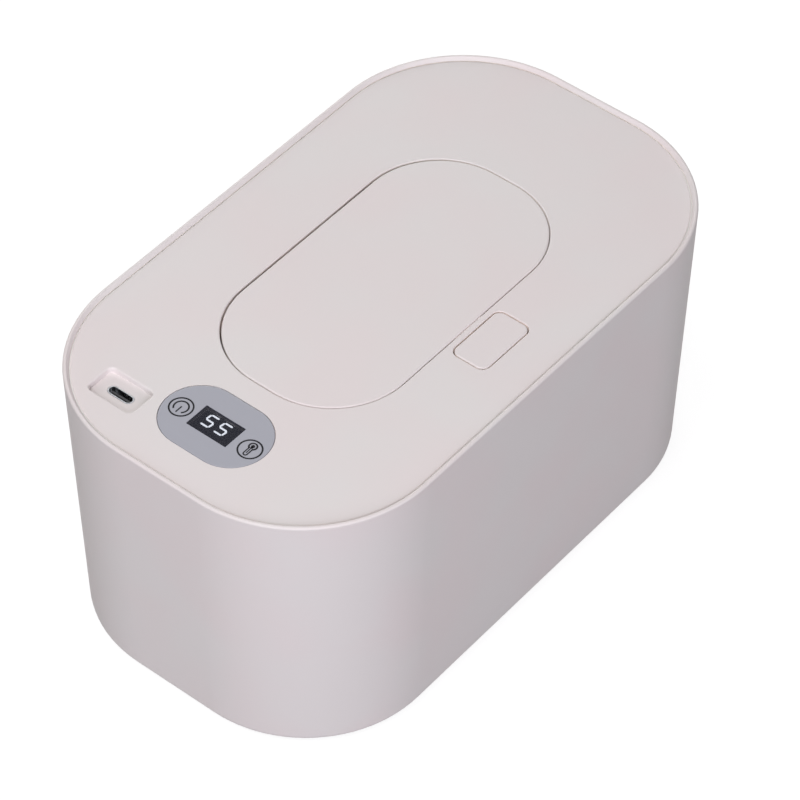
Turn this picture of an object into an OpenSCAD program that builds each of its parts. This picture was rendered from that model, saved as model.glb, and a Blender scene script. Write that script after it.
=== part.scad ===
// Wipe warmer: a box with wide round corners, a heated lift-off lid, a hinged flap over the opening
// that the wipes are pulled through, and a push button that frees the flap.
// The origin is the centre of the rest plane under the feet. X runs along the length, with the
// controls at -X, and +Y points to the back, where the flap has its hinge.

/* [Casing] */
// Length of the casing at its rim
body_l = 200; // [198:1:220]
// Width of the casing at its rim
body_w = 120; // [118:1:134]
// Height of the casing without its feet
body_h = 95; // [80:1:120]
// Radius of the casing's corners at the rim
corner_r = 45; // [43:0.5:48]
// How far each side leans in from the rim to the base
draft = 2.7; // [1.5:0.1:3.5]
// Thickness of the casing's wall
wall = 2.4; // [2:0.1:2.8]
// Width of the rim that frames the lid
rim_w = 1.8; // [1.6:0.1:2.4]
// Rounding of the rim's outer edge
rim_edge_r = 0.7; // [0.3:0.1:0.75]
// Width of the slope that falls from the rim to the lid
rim_slope_w = 0.95; // [0.6:0.05:1]
// Thickness of the casing's floor
floor_t = 2.5; // [2:0.1:3.5]
// Radius of the casing's bottom edge
base_edge_r = 2; // [1:0.25:3]
// Thickness of the casing's ribs
rib_t = 1.5; // [1:0.1:2]
// Height of the ribs on the casing's floor
floor_rib_h = 1.5; // [1:0.1:2.5]

/* [Feet] */
// Diameter of a rubber foot
foot_d = 12; // [8:0.5:16]
// Thickness of a rubber foot
foot_t = 2.2; // [2:0.1:3]
// How far a foot stands out of the floor
foot_h = 1; // [0.6:0.1:1.4]
// Distance of the feet from the casing's two ends
foot_inset = 36; // [30:1:45]
// Distance of the feet from the casing's two long sides
foot_side = 30; // [24:1:36]

/* [Bin] */
// Width of the bin's flange
flange_w = 7.5; // [7:0.1:8.5]
// Thickness of the bin's flange
flange_t = 2; // [1.5:0.1:2.5]
// Thickness of the bin's wall and floor
bin_t = 1.5; // [1.2:0.1:1.8]
// How far the bin's wall leans in from its mouth to its floor
bin_draft = 1.3; // [0.8:0.1:2]
// Radius inside the bin along its floor
bin_floor_r = 5; // [3:0.5:8]
// Thickness of the foam under the bin
floor_foam_t = 3; // [2:0.25:5]

/* [Lid] */
// How far the lid's top lies below the rim
lid_recess = 1; // [0.5:0.1:1.5]
// Gap between the lid and the rim
lid_gap = 0.3; // [0.2:0.05:0.5]
// Height from the bin's flange to the lid's top
lid_h = 13; // [13:0.25:16]
// Thickness of the lid's top wall
top_t = 2.2; // [2:0.1:2.4]
// Thickness of the lid's side walls
skirt_t = 1.8; // [1.5:0.1:2]
// Rounding of the lid's top edge
lid_edge_r = 0.5; // [0.4:0.1:1.2]
// Depth to which the lid's underside hangs in the bin
pan_depth = 6; // [5.5:0.25:8]
// Thickness of the lid's underside
pan_t = 1.8; // [1.5:0.1:2]
// Thickness of the underside's flange
pan_flange_t = 1.6; // [1.3:0.1:2]
// Height of the seal under the lid
lid_seal_h = 1.7; // [1.2:0.1:2.2]
// Width of the seal under the lid
lid_seal_w = 3; // [2:0.25:3.5]

/* [Flap] */
// Distance of the flap's opening from the casing's two ends
well_end = 44.9; // [44:0.1:47]
// Distance of the flap's opening from the casing's two long sides
well_side = 29.95; // [29.5:0.05:31]
// Straight part of the flap's opening at each of its two ends
well_straight = 8.3; // [7:0.1:12]
// Depth of the well under the flap
well_depth = 9; // [8.8:0.1:9.2]
// Gap round the flap at its front and sides
flap_gap = 0.3; // [0.25:0.05:0.5]
// Gap behind the flap, which its swing needs
flap_back_gap = 0.65; // [0.5:0.05:0.9]
// Thickness of the flap
flap_t = 2; // [1.8:0.1:2.2]
// Rounding of the flap's top edge
flap_edge_r = 0.6; // [0.4:0.1:0.8]
// Depth of the flap's skirt below its plate
flap_skirt_h = 2.6; // [1.5:0.1:3]
// Thickness of the flap's skirt
flap_skirt_t = 1.2; // [1:0.1:1.5]
// Height of the seal under the flap
flap_seal_h = 1.8; // [1.4:0.1:2]
// Distance of the hinge's axis behind the flap's opening
hinge_back = 4.6; // [4.4:0.1:5]
// Depth of the hinge's axis below the lid's top
hinge_drop = 3; // [2.9:0.05:3.2]
// Radius of a hinge pin
pin_r = 0.75; // [0.6:0.05:0.8]
// Distance from a hinge pocket's inner end to the end of the opening's straight side
hinge_in = 14; // [13:0.2:16]
// Length of a hinge pocket
hinge_l = 15.2; // [14.4:0.2:16]
// Width of a hinge arm
arm_w = 7; // [5:0.25:7.5]

/* [Dispensing opening] */
// Distance of the opening's straight part from the two ends of the flap's opening
slot_end = 22.1; // [20.5:0.1:27]
// Radius of the hole in the well's floor
throat_r = 12.6; // [11:0.2:13]
// Half the width of the slit in the soft insert
slit_r = 5.5; // [4:0.25:6.5]
// Thickness of the collar round the hole
collar_t = 1.6; // [1.2:0.1:1.8]

/* [Button] */
// Length of the button's opening
button_l = 22.6; // [20:0.2:26]
// Width of the button's opening
button_w = 12.7; // [11:0.1:13]
// Corner radius of the button's opening
button_r = 3; // [2:0.1:4]
// Gap round the button
button_gap = 0.4; // [0.3:0.05:0.5]
// How far the button goes down
button_travel = 2; // [1:0.1:2.2]
// Width of the bridge between the flap and the button
bridge_w = 1.9; // [1.6:0.1:2.4]

/* [Control panel] */
// Size of the panel along the lid
panel_l = 24.5; // [20:0.5:26]
// Size of the panel across the lid
panel_w = 36; // [33:0.5:38]
// Distance of the panel's centre from the casing's end
panel_inset = 25.15; // [25:0.05:26]
// Gap round the panel in its seat
panel_gap = 0.2; // [0.1:0.05:0.3]
// Thickness of the panel and of the display's window
panel_t = 0.9; // [0.6:0.05:1.1]
// Size of the display's window along the lid
window_l = 8.9; // [8:0.1:10]
// Size of the display's window across the lid
window_w = 14.5; // [13:0.1:16]
// Distance of the touch keys from the panel's middle
key_y = 12.7; // [11.5:0.1:13.5]

/* [USB port] */
// Size of the port's recess along the lid
port_l = 10.5; // [9:0.25:11]
// Size of the port's recess across the lid
port_w = 16.6; // [14:0.2:17]
// Depth of the port's recess
port_depth = 2; // [1.5:0.1:2.4]
// Distance of the port's centre from the casing's end
port_inset = 18.6; // [18.4:0.1:19.4]
// Distance of the port's centre from the centre of the casing's corner, across the lid
port_out = 14.7; // [14.2:0.1:15]
// Distance of the port's centre from the panel's centre, across the lid
port_pitch = 29.8; // [29.2:0.1:31]
// Outer width of the socket's metal shell
socket_w = 8.94; // [8.94:0.01:9.1]
// Outer height of the socket's metal shell
socket_h = 3.26; // [3.2:0.01:3.3]

/* [Heater] */
// Thickness of the heating plate
plate_t = 1.5; // [1:0.1:2]
// Thickness of the heating film
film_t = 0.3; // [0.2:0.05:0.4]
// Thickness of the felt over the film
felt_t = 1.5; // [1:0.1:2]

/* [Hidden] */
$fn = 64;

shell_white = [0.85, 0.83, 0.83];
liner_white = [0.93, 0.93, 0.92];
foam_grey = [0.62, 0.63, 0.65];
silicone = [0.88, 0.89, 0.88];
rubber_black = [0.12, 0.12, 0.13];
panel_grey = [0.65, 0.66, 0.70];
window_black = [0.10, 0.11, 0.13];
steel = [0.75, 0.76, 0.78];
aluminium = [0.80, 0.81, 0.83];
board_green = [0.07, 0.30, 0.18];
part_black = [0.09, 0.09, 0.10];
film_amber = [0.75, 0.42, 0.12];
felt_white = [0.90, 0.88, 0.84];
lead_red = [0.70, 0.10, 0.10];
lit_white = [0.95, 0.95, 0.95];

eps = 0.01;
over = 1;             // how far a cutter reaches past what it cuts
fit = 0.2;            // clearance between fixed pieces that are slipped together
soft_gap = 0.3;       // clearance round seals and foam
run_gap = 0.05;       // radial clearance of a pin in the flap
pin_fit = 0.02;       // radial clearance of a pin in its boss
edge_steps = 5;       // steps in a rounded edge

// Corner centres and levels
cx = body_l / 2 - corner_r;
cy = body_w / 2 - corner_r;
rim_z = foot_h + body_h;
floor_z = foot_h + floor_t;
lid_z = rim_z - lid_recess;
flange_z = lid_z - lid_h;
shelf_z = flange_z - flange_t;
bin_floor_z = floor_z + floor_rib_h + floor_foam_t + bin_t;
top_z = lid_z - top_t;

// Outlines as distances out from the corner centres
function casing_r(z) = corner_r - draft * (rim_z - z) / body_h;
function lid_r(z) = casing_r(z) - rim_w - lid_gap;
flange_r = casing_r(shelf_z) - rim_w - fit;
bin_r = flange_r - flange_w;
function bin_outer_r(z) = bin_r + bin_t - bin_draft * (flange_z - z) / (flange_z - bin_floor_z);
rib_r = casing_r(floor_z) - wall - fit;
pan_clear = 0.7;
pan_r = bin_r - pan_clear;
pan_z = flange_z - pan_depth;
lid_seal_z = flange_z + soft_gap;
seal_groove = 0.4;
pan_flange_z = lid_seal_z + lid_seal_h - seal_groove;
skirt_z = pan_flange_z + pan_flange_t;
seal_mid_r = (bin_r + bin_t + lid_r(skirt_z) - skirt_t) / 2;
boss_z = skirt_z + 1; // where the bosses of the lid's two covers meet

// Heater stack on the lid's underside
plate_margin = 6.4;   // from the tray's wall to the plate, round the corners
plate_in = [7, 4];    // how far its corner centres lie inside the casing's
plate_r = pan_r - pan_t - plate_margin;
plate_cx = cx - plate_in.x;
plate_cy = cy - plate_in.y;
film_z = pan_z + plate_t;
felt_z = film_z + film_t;
stack_z = felt_z + felt_t;
tray_z = stack_z + pan_t;
stack_gap = 0.4;
plate_boss_z = tray_z + 3;

// Flap, well and hinge
well_l = body_l - 2 * well_end;
well_w = body_w - 2 * well_side;
well_r = (well_w - well_straight) / 2;
well_cx = well_l / 2 - well_r;
well_cy = well_w / 2 - well_r;
well_z = lid_z - well_depth;
well_t = 1.8;
well_under_z = well_z - well_t;
flap_corner = 0.5;    // how much tighter the flap's corners are than the opening's
flap_r = well_r - flap_corner;
flap_cx = well_l / 2 - flap_gap - flap_r;
flap_half_w = (well_w - flap_gap - flap_back_gap) / 2;
flap_cy = flap_half_w - flap_r;
flap_y = (flap_gap - flap_back_gap) / 2;
flap_z = lid_z - flap_t;
skirt_inset = 0.4;
flap_lean = 0.5;

// The hinge arms hook round the edge of the opening, to an axis that lies behind it under the lid
hinge_x = well_cx - hinge_in;
hinge_y = well_w / 2 + hinge_back;
hinge_z = lid_z - hinge_drop;
swing_gap = 0.25;     // least clearance of the arms in their pockets
eye_t = 0.8;
eye_r = pin_r + eye_t;
arm_t = 1.6;
arm_in_r = norm([hinge_back, hinge_drop]) + swing_gap;
arm_out_r = arm_in_r + arm_t;
stem_y = -0.5;
hinge_roof_z = hinge_z + eye_r + swing_gap;
hinge_floor_gap = 0.3;
hinge_floor_z = hinge_z - arm_out_r - hinge_floor_gap;
hinge_end_gap = 0.35;
hinge_end_y = hinge_y + eye_r + hinge_end_gap;
ear_t = 1.6;
arm_side_gap = 0.4;
arm_x = hinge_x + arm_side_gap;
spring_wire_r = 0.2;
spring_fit = 0.08;    // radial gap between a torsion spring and its pin
spring_side_gap = 0.3;
spring_coil_r = pin_r + spring_wire_r + spring_fit;
spring_x0 = arm_x + arm_w + spring_side_gap;
spring_x1 = hinge_x + hinge_l - spring_side_gap;

// Opening for the wipes
slot_cx = well_l / 2 - slot_end;
insert_r = throat_r + 1.6;
collar_in_r = insert_r + fit;
collar_out_r = collar_in_r + collar_t;
collar_z = lid_z - flap_t - flap_seal_h - soft_gap;
chimney_gap = 0.8;    // from the hole's edge out to the chimney's wall
chimney_t = 1.6;
chimney_in_r = throat_r + chimney_gap;
chimney_out_r = chimney_in_r + chimney_t;
insert_t = 1.2;
insert_lip_r = throat_r + 0.5;
flap_seal_r = (collar_in_r + collar_out_r) / 2;
flap_seal_w = 3;

// Button
button_y = -well_w / 2 - bridge_w - button_w / 2;
button_cx = button_l / 2 - button_r;
button_cy = button_w / 2 - button_r;
cap_r = button_r - button_gap;
cap_t = 1.8;
cap_wall = 1.2;
pocket_side = 1.6;
pocket_t = 1.4;
pocket_depth = 11;
pocket_z = lid_z - pocket_depth;
pocket_cx = button_cx + pocket_side;
stop_gap = 0.1;
cap_skirt_z = pocket_z + button_travel + stop_gap;
tab_gap = 0.6;        // from a tab's end to the pocket's wall
tab_l = pocket_side + button_gap - tab_gap;
tab_w = 4;
tab_h = 1.5;
spring_in = 5;
spring_x = button_l / 2 - spring_in;
spring_r = 1.7;
peg_r = 1.1;
peg_h = 1.5;
catch_w = 13;
catch_side_gap = 0.5;
catch_t = 1.4;
catch_depth = 7;
catch_z = lid_z - catch_depth;
nib_h = 2;
window_h = 6;
window_drop = 0.3;    // from the lid's top wall down to the catch's window
wedge_w = 10;

// Controls
panel_x = panel_inset - body_l / 2;
panel_r = panel_l / 2 - eps;
window_r = 0.2;
window_gap = 0.05;
window_ledge = 0.4;
port_x = port_inset - body_l / 2;
port_y = cy + port_out;
panel_y = port_y - port_pitch;
port_r = 2;
port_cx = port_l / 2 - port_r;
port_cy = port_w / 2 - port_r;
port_wall = 1.2;
port_floor_z = lid_z - port_depth;
port_floor_t = 1.6;
socket_cx = (socket_w - socket_h) / 2;
socket_t = 0.3;
socket_base = 0.6;
socket_clear = 0.15;
board_depth = 9;
board_t = 1.6;
board_z = lid_z - board_depth;
board_top_z = board_z + board_t;
board_l = 21;
board_w = 50;
board_end = 5.7;      // from the panel's centre to the board's end
board_front = 30;     // from the panel's centre to the board's front
board_x0 = panel_x - board_end;
board_x1 = board_x0 + board_l;
board_y0 = panel_y - board_front;
board_y1 = board_y0 + board_w;
board_corner = 1;
board_hole = 2.5;
usb_board_t = 1.2;
usb_board_z = board_z + 0.4;
usb_board_off = 0.3;  // how far the port's board lies off the port's centre, along the lid

// Display: seven light bars to a digit, whose top points to +X
display_gap = 0.3;    // from the display's face to the window
display_z = lid_z - panel_t - display_gap;
face_l = window_l - 2 * window_ledge - 0.2;
face_w = window_w - 2 * window_ledge - 0.2;
segment_w = 0.55;
segment_t = 0.15;
segment_gap = 0.1;
digit_l = 4.6;
digit_w = 3.2;
digit_pitch = 4.9;
digit_lean = 0.14;
digit_off = 0.15;     // how far the digits lie off the panel's centre, along the lid

// Screws
pilot = 0.05;         // radial clearance of a screw in its pilot hole
screw_r = 1.1;
screw_head_r = 2.4;
boss_r = 3;
board_screw_r = 0.75;
board_boss_r = 2.3;
usb_screw_r = 0.5;
usb_boss_r = 1.3;
plate_screw_r = 1;
plate_head_r = 2.1;
plate_boss_r = 2.6;
screw_end = 15.5;     // from the casing's ends to the lid's two end screws
screw_corner = [38, 16];
screw_end_x = body_l / 2 - screw_end;
screw_corner_x = body_l / 2 - screw_corner.x;
screw_corner_y = body_w / 2 - screw_corner.y;
lid_screw_spots = [
    [-screw_end_x, 0], [screw_end_x, 0],
    [-screw_corner_x, -screw_corner_y], [screw_corner_x, -screw_corner_y],
    [-screw_corner_x, screw_corner_y], [screw_corner_x, screw_corner_y]
];
board_screw_spots = [
    for (x = [board_x0 + board_hole, board_x1 - board_hole])
        for (y = [board_y0 + board_hole, board_y1 - board_hole]) [x, y]
];
usb_screw = [3.6, 5.2];
usb_screw_spots = [
    for (s = [-1, 1]) [port_x + usb_board_off + s * usb_screw.x, port_y + s * usb_screw.y]
];
plate_screw_in = [12, 10];
plate_screw_x = plate_cx + plate_r - plate_screw_in.x;
plate_screw_y = plate_cy + plate_r - plate_screw_in.y;
plate_screw_spots = [for (sx = [-1, 1], sy = [-1, 1]) [sx * plate_screw_x, sy * plate_screw_y]];

// Sensors and leads on the heating plate, behind the board
sensor_off = 7;       // from the panel's centre, along the lid
sensor_x = panel_x + sensor_off;
sensor_spots = [[sensor_x, -6], [sensor_x, 8]];
sensor_r = 2.4;
sensor_leads_z = [2.8, 3.6];
lead_spots = [[sensor_x, -13.5], [sensor_x, 13.5]];
lead_r = 0.6;
lead_hole = 0.6;      // radial clearance of the leads and sensors in the tray

// ---- Shapes that repeat ----

// Points of an arc in a profile
function arc(at, r, from, to, n = edge_steps) =
    [for (i = [0:n]) at + r * [cos(from + (to - from) * i / n), sin(from + (to - from) * i / n)]];

// A straight side of a rounded rectangle, half long, standing out from its centre line
module side(half, out, profile) {
    translate([-half, out, 0])
        rotate([90, 0, 90])
            linear_extrude(2 * half) polygon(profile);
}

// Carries a profile of [distance out, height] round a rounded rectangle with these corner centres
module ring(hx, hy, profile) {
    for (turn = [0, 180]) rotate([0, 0, turn]) {
        translate([hx, hy, 0]) rotate_extrude(angle = 90) polygon(profile);
        translate([-hx, hy, 0]) rotate([0, 0, 90]) rotate_extrude(angle = 90) polygon(profile);
        side(hx, hy, profile);
        if (hy > 0) rotate([0, 0, 90]) side(hy, hx, profile);
    }
}

// The same for a profile that starts at distance 0, with the middle filled from z0 to z1
module filled(hx, hy, profile, z0, z1) {
    ring(hx, hy, profile);
    if (hy > 0) translate([-hx, -hy, z0]) cube([2 * hx, 2 * hy, z1 - z0]);
}

// A plain block with upright sides and corner radius r
module block(hx, hy, r, z0, z1) {
    filled(hx, hy, [[0, z0], [r, z0], [r, z1], [0, z1]], z0, z1);
}

// A plain ring with upright sides
module band(hx, hy, r0, r1, z0, z1) {
    ring(hx, hy, [[r0, z0], [r1, z0], [r1, z1], [r0, z1]]);
}

// A cutter with an edge rounded outwards at its top
module flared_block(hx, hy, r, z0, z1, edge) {
    filled(hx, hy, concat([[0, z0], [r, z0]], arc([r + edge, z1 - edge], edge, 180, 90),
        [[r + edge, z1 + over], [0, z1 + over]]), z0, z1 + over);
}

module tube(r0, r1, z0, z1) {
    translate([0, 0, z0]) difference() {
        cylinder(r = r1, h = z1 - z0);
        translate([0, 0, -eps]) cylinder(r = r0, h = z1 - z0 + 2 * eps);
    }
}

// A wire along a path, as one closed surface of triangles
function unit(v) = v / norm(v);
function tangents(p) = [for (i = [0:len(p) - 1]) unit(p[min(i + 1, len(p) - 1)] - p[max(i - 1, 0)])];
function square_to(v, t) = unit(v - t * (v * t));
function frames(t, n, i = 0) =
    i == len(t) ? [] : let (m = square_to(n, t[i])) concat([m], frames(t, m, i + 1));
module wire(path, r, sides = 8) {
    t = tangents(path);
    n = frames(t, abs(t[0].z) < 0.9 ? [0, 0, 1] : [1, 0, 0]);
    last = len(path) - 1;
    points = [
        for (i = [0:last], k = [0:sides - 1])
            path[i] + r * (cos(360 * k / sides) * n[i] + sin(360 * k / sides) * cross(t[i], n[i]))
    ];
    walls = [
        for (i = [0:last - 1], k = [0:sides - 1], half = [0, 1])
            let (a = i * sides + k, b = i * sides + (k + 1) % sides)
                half == 0 ? [a, a + sides, b] : [b, a + sides, b + sides]
    ];
    end = last * sides;
    ends = [for (k = [1:sides - 2]) each [[0, k, k + 1], [end, end + k + 1, end + k]]];
    polyhedron(points, concat(walls, ends));
}

// A path through these corners, with each corner rounded off over the distance d
function rounded(p, d, n = 4) = [
    for (i = [0:len(p) - 1])
        each i == 0 || i == len(p) - 1 ? [p[i]] :
            let (a = p[i] + d * unit(p[i - 1] - p[i]), b = p[i] + d * unit(p[i + 1] - p[i]))
                [for (j = [0:n]) let (s = j / n) pow(1 - s, 2) * a + 2 * s * (1 - s) * p[i] + s * s * b]
];

// A compression spring standing on z0, with one close turn at each end
function coil_path(r0, r1, z0, z1, turns, wire_r, per_turn = 10) =
    let (close = 2 * wire_r + 0.15, rise = z1 - z0 - 2 * wire_r - 2 * close)
        [for (i = [0:turns * per_turn])
            let (a = i / per_turn, s = i / (turns * per_turn), r = r0 + (r1 - r0) * s,
                z = a < 1 ? a * close : a > turns - 1 ? close + rise + (a - turns + 1) * close
                    : close + rise * (a - 1) / (turns - 2))
                [r * cos(360 * a), r * sin(360 * a), z0 + wire_r + z]];

// A countersunk screw with its head down at z0 and its point up
module screw(r, head_r, z0, length) {
    head_h = head_r - r;
    drive_t = 0.5;
    translate([0, 0, z0]) difference() {
        union() {
            cylinder(r1 = head_r, r2 = r, h = head_h);
            translate([0, 0, head_h - eps]) cylinder(r = r, h = length - head_h - r + eps);
            translate([0, 0, length - r - eps]) cylinder(r1 = r, r2 = r / 3, h = r);
        }
        for (turn = [0, 90]) rotate([0, 0, turn])
            translate([-head_r / 2, -drive_t / 2, -eps]) cube([head_r, drive_t, head_h * 0.6]);
    }
}

module at_each(spots) {
    for (p = spots) translate([p.x, p.y, 0]) children();
}

// A round post, or the cutter of a round hole, at each of these spots
module posts(spots, r, z0, z1) {
    at_each(spots) translate([0, 0, z0]) cylinder(r = r, h = z1 - z0);
}

// ---- Casing and bin ----

// One casing rib, seen from its corner centre, from the floor to the shelf that the bin hangs on
module casing_rib() {
    rotate([90, 0, 0]) linear_extrude(rib_t, center = true) polygon([
        [rib_r, floor_z - eps], [casing_r(floor_z) - wall / 2, floor_z - eps],
        [casing_r(shelf_z) - (wall + rim_w) / 2, shelf_z], [rib_r, shelf_z]
    ]);
}

module outer_casing() {
    fillet = 1;
    edge_z = foot_h + base_edge_r;
    edge_c = casing_r(edge_z) - base_edge_r;
    slope_r = 0.3;
    slope_turn = 54;
    slope_z = lid_z - 0.1;
    slope_in = casing_r(slope_z) - rim_w;
    profile = concat(
        [[0, foot_h]],
        arc([edge_c, edge_z], base_edge_r, -90, 0),
        arc([corner_r - rim_edge_r, rim_z - rim_edge_r], rim_edge_r, 0, 90),
        arc([slope_in + rim_slope_w, rim_z - slope_r], slope_r, 90, 90 + slope_turn),
        [[slope_in, slope_z], [casing_r(shelf_z) - rim_w, shelf_z], [casing_r(shelf_z) - wall, shelf_z]],
        [[casing_r(floor_z + fillet) - wall, floor_z + fillet]],
        [[casing_r(floor_z) - wall - fillet, floor_z], [0, floor_z]]
    );
    color(shell_white) difference() {
        union() {
            filled(cx, cy, profile, foot_h, floor_z);
            for (sx = [-1, 1], sy = [-1, 1], a = [15, 45, 75])
                translate([sx * cx, sy * cy, 0]) rotate([0, 0, sy * (90 - sx * (90 - a))]) casing_rib();
            for (turn = [0, 180], x = [-0.5, 0, 0.5])
                rotate([0, 0, turn]) translate([x * cx, cy, 0]) rotate([0, 0, 90]) casing_rib();
            for (turn = [0, 180]) rotate([0, 0, turn]) translate([cx, 0, 0]) casing_rib();
            floor_ribs();
        }
        at_each(foot_spots()) translate([0, 0, foot_h - eps])
            cylinder(d = foot_d + 2 * fit, h = foot_t - foot_h + eps);
    }
}

// Ribs across the floor, which carry the foam
module floor_ribs() {
    short = 8;
    reach_x = cx + rib_r - short;
    reach_y = cy + rib_r - short;
    h = floor_rib_h + eps;
    translate([0, 0, floor_z - eps]) {
        for (i = [-2:2]) translate([i * cx / 3 - rib_t / 2, -reach_y, 0]) cube([rib_t, 2 * reach_y, h]);
        for (i = [-1:1]) translate([-reach_x, i * cy - rib_t / 2, 0]) cube([2 * reach_x, rib_t, h]);
    }
}

function foot_spots() = [
    for (sx = [-1, 1], sy = [-1, 1]) [sx * (body_l / 2 - foot_inset), sy * (body_w / 2 - foot_side)]
];

module inner_bin() {
    low_r = bin_outer_r(bin_floor_z) - bin_t;
    outer_floor_z = bin_floor_z - bin_t;
    lead_in = 0.6;
    corner = [low_r - bin_floor_r, bin_floor_z + bin_floor_r];
    profile = concat(
        [[0, outer_floor_z]],
        arc(corner, bin_floor_r + bin_t, -90, 0),
        [[bin_r + bin_t, shelf_z], [flange_r, shelf_z], [flange_r, flange_z]],
        [[bin_r + lead_in, flange_z], [bin_r, flange_z - lead_in]],
        arc(corner, bin_floor_r, 0, -90),
        [[0, bin_floor_z]]
    );
    color(liner_white) filled(cx, cy, profile, outer_floor_z, bin_floor_z);
}

module insulation_sleeve() {
    z0 = floor_z + floor_rib_h + floor_foam_t + soft_gap;
    outer = rib_r - soft_gap;
    color(foam_grey) ring(cx, cy, [
        [bin_outer_r(z0) + soft_gap, z0], [outer, z0],
        [outer, shelf_z - soft_gap], [bin_outer_r(shelf_z) + soft_gap, shelf_z - soft_gap]
    ]);
}

module floor_insulation() {
    z0 = floor_z + floor_rib_h;
    margin = 3;
    color(foam_grey) block(cx, cy, rib_r - margin, z0, z0 + floor_foam_t);
}

module rubber_feet() {
    edge = 0.4;
    color(rubber_black) at_each(foot_spots()) rotate_extrude() polygon([
        [0, 0], [foot_d / 2 - edge, 0], [foot_d / 2, edge], [foot_d / 2, foot_t], [0, foot_t]
    ]);
}

// ---- Lid ----

module lid_shell() {
    fillet = 1;
    out_r = lid_r(lid_z);
    profile = concat(
        [[0, top_z], [lid_r(top_z) - skirt_t - fillet, top_z], [lid_r(top_z) - skirt_t, top_z - fillet]],
        [[lid_r(skirt_z) - skirt_t, skirt_z], [lid_r(skirt_z), skirt_z]],
        arc([out_r - lid_edge_r, lid_z - lid_edge_r], lid_edge_r, 0, 90),
        [[0, lid_z]]
    );
    filled(cx, cy, profile, top_z, lid_z);
}

// Stiffening ribs under the lid's plain end, cut to the space inside the skirt
module lid_ribs() {
    h = 4;
    t = 1.2;
    pitch = 8;
    cross_y = 20;
    free_x = well_l / 2 + 5;
    intersection() {
        block(cx, cy, lid_r(skirt_z) - skirt_t + eps, top_z - h, top_z + eps);
        union() {
            for (x = [free_x : pitch : body_l / 2])
                translate([x, -body_w / 2, top_z - h]) cube([t, body_w, h + eps]);
            for (y = [-1, 0, 1] * cross_y)
                translate([free_x, y - t / 2, top_z - h]) cube([body_l / 2 - free_x, t, h + eps]);
        }
    }
}

module lid_top_cover() {
    well_edge = 0.4;
    closed = 1;
    color(shell_white) difference() {
        union() {
            lid_shell();
            lid_ribs();
            block(well_cx, well_cy, well_r + well_t, well_under_z, top_z + eps);
            translate([0, button_y, 0])
                block(pocket_cx, button_cy, button_r + pocket_t, pocket_z - pocket_t, top_z + eps);
            translate([port_x, port_y, 0])
                block(port_cx, port_cy, port_r + port_wall, port_floor_z - port_floor_t, top_z + eps);
            posts(lid_screw_spots, boss_r, boss_z, top_z + eps);
            posts(board_screw_spots, board_boss_r, board_top_z, top_z + eps);
            posts(usb_screw_spots, usb_boss_r, usb_board_z + usb_board_t, top_z + eps);
            for (s = [0, 1]) mirror([s, 0, 0]) hinge_housing();
        }
        flared_block(well_cx, well_cy, well_r, well_z, lid_z, well_edge);
        block(slot_cx, 0, throat_r, well_under_z - over, well_z + over);
        posts(lid_screw_spots, screw_r + pilot, skirt_z, top_z - closed);
        posts(board_screw_spots, board_screw_r + pilot, board_top_z - eps, top_z - closed);
        posts(usb_screw_spots, usb_screw_r + pilot, usb_board_z + usb_board_t - eps, top_z - closed);
        for (s = [0, 1]) mirror([s, 0, 0]) hinge_cut();
        button_cut();
        panel_cut();
        port_cut();
    }
    color(shell_white) {
        band(slot_cx, 0, collar_in_r, collar_out_r, well_z - eps, collar_z);
        for (s = [-1, 1]) translate([s * spring_x, button_y, pocket_z - eps])
            cylinder(r = peg_r, h = peg_h + eps);
    }
}

// The walls round a hinge pocket
module hinge_housing() {
    translate([hinge_x - ear_t, well_w / 2, hinge_floor_z - ear_t])
        cube([hinge_l + 2 * ear_t, hinge_end_y + ear_t - well_w / 2, top_z - hinge_floor_z + ear_t + eps]);
}

// The pocket that a hinge arm swings in, and the bore for its pin
module hinge_cut() {
    translate([hinge_x, well_w / 2 - eps, hinge_floor_z])
        cube([hinge_l, hinge_end_y - well_w / 2 + eps, hinge_roof_z - hinge_floor_z]);
    translate([hinge_x - ear_t - over, hinge_y, hinge_z]) rotate([0, 90, 0])
        cylinder(r = pin_r + pin_fit, h = hinge_l + 2 * (ear_t + over));
}

// The button's opening, the pocket under it and the catch's window in the wall behind it
module button_cut() {
    edge = 0.3;
    catch_window_w = catch_w + 2 * catch_side_gap;
    translate([0, button_y, 0]) {
        flared_block(button_cx, button_cy, button_r, top_z - over, lid_z, edge);
        block(pocket_cx, button_cy, button_r, pocket_z, top_z);
    }
    translate([-catch_window_w / 2, -well_w / 2 - bridge_w - over, top_z - window_drop - window_h])
        cube([catch_window_w, bridge_w + 2 * over, window_h]);
}

// The shallow seat of the panel and the hole for the display
module panel_cut() {
    corner = 0.5;
    translate([panel_x, panel_y, 0]) {
        block(panel_l / 2 - panel_r, panel_w / 2 - panel_r, panel_r, lid_z - panel_t, lid_z + over);
        block(window_l / 2 - window_ledge - corner, window_w / 2 - window_ledge - corner, corner,
            top_z - over, lid_z);
    }
}

module port_cut() {
    edge = 0.6;
    under_z = port_floor_z - port_floor_t;
    translate([port_x, port_y, 0]) {
        flared_block(port_cx, port_cy, port_r, port_floor_z, lid_z, edge);
        rotate([0, 0, 90])
            block(socket_cx, 0, socket_h / 2 + socket_clear, under_z - over, port_floor_z + over);
    }
}

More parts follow.
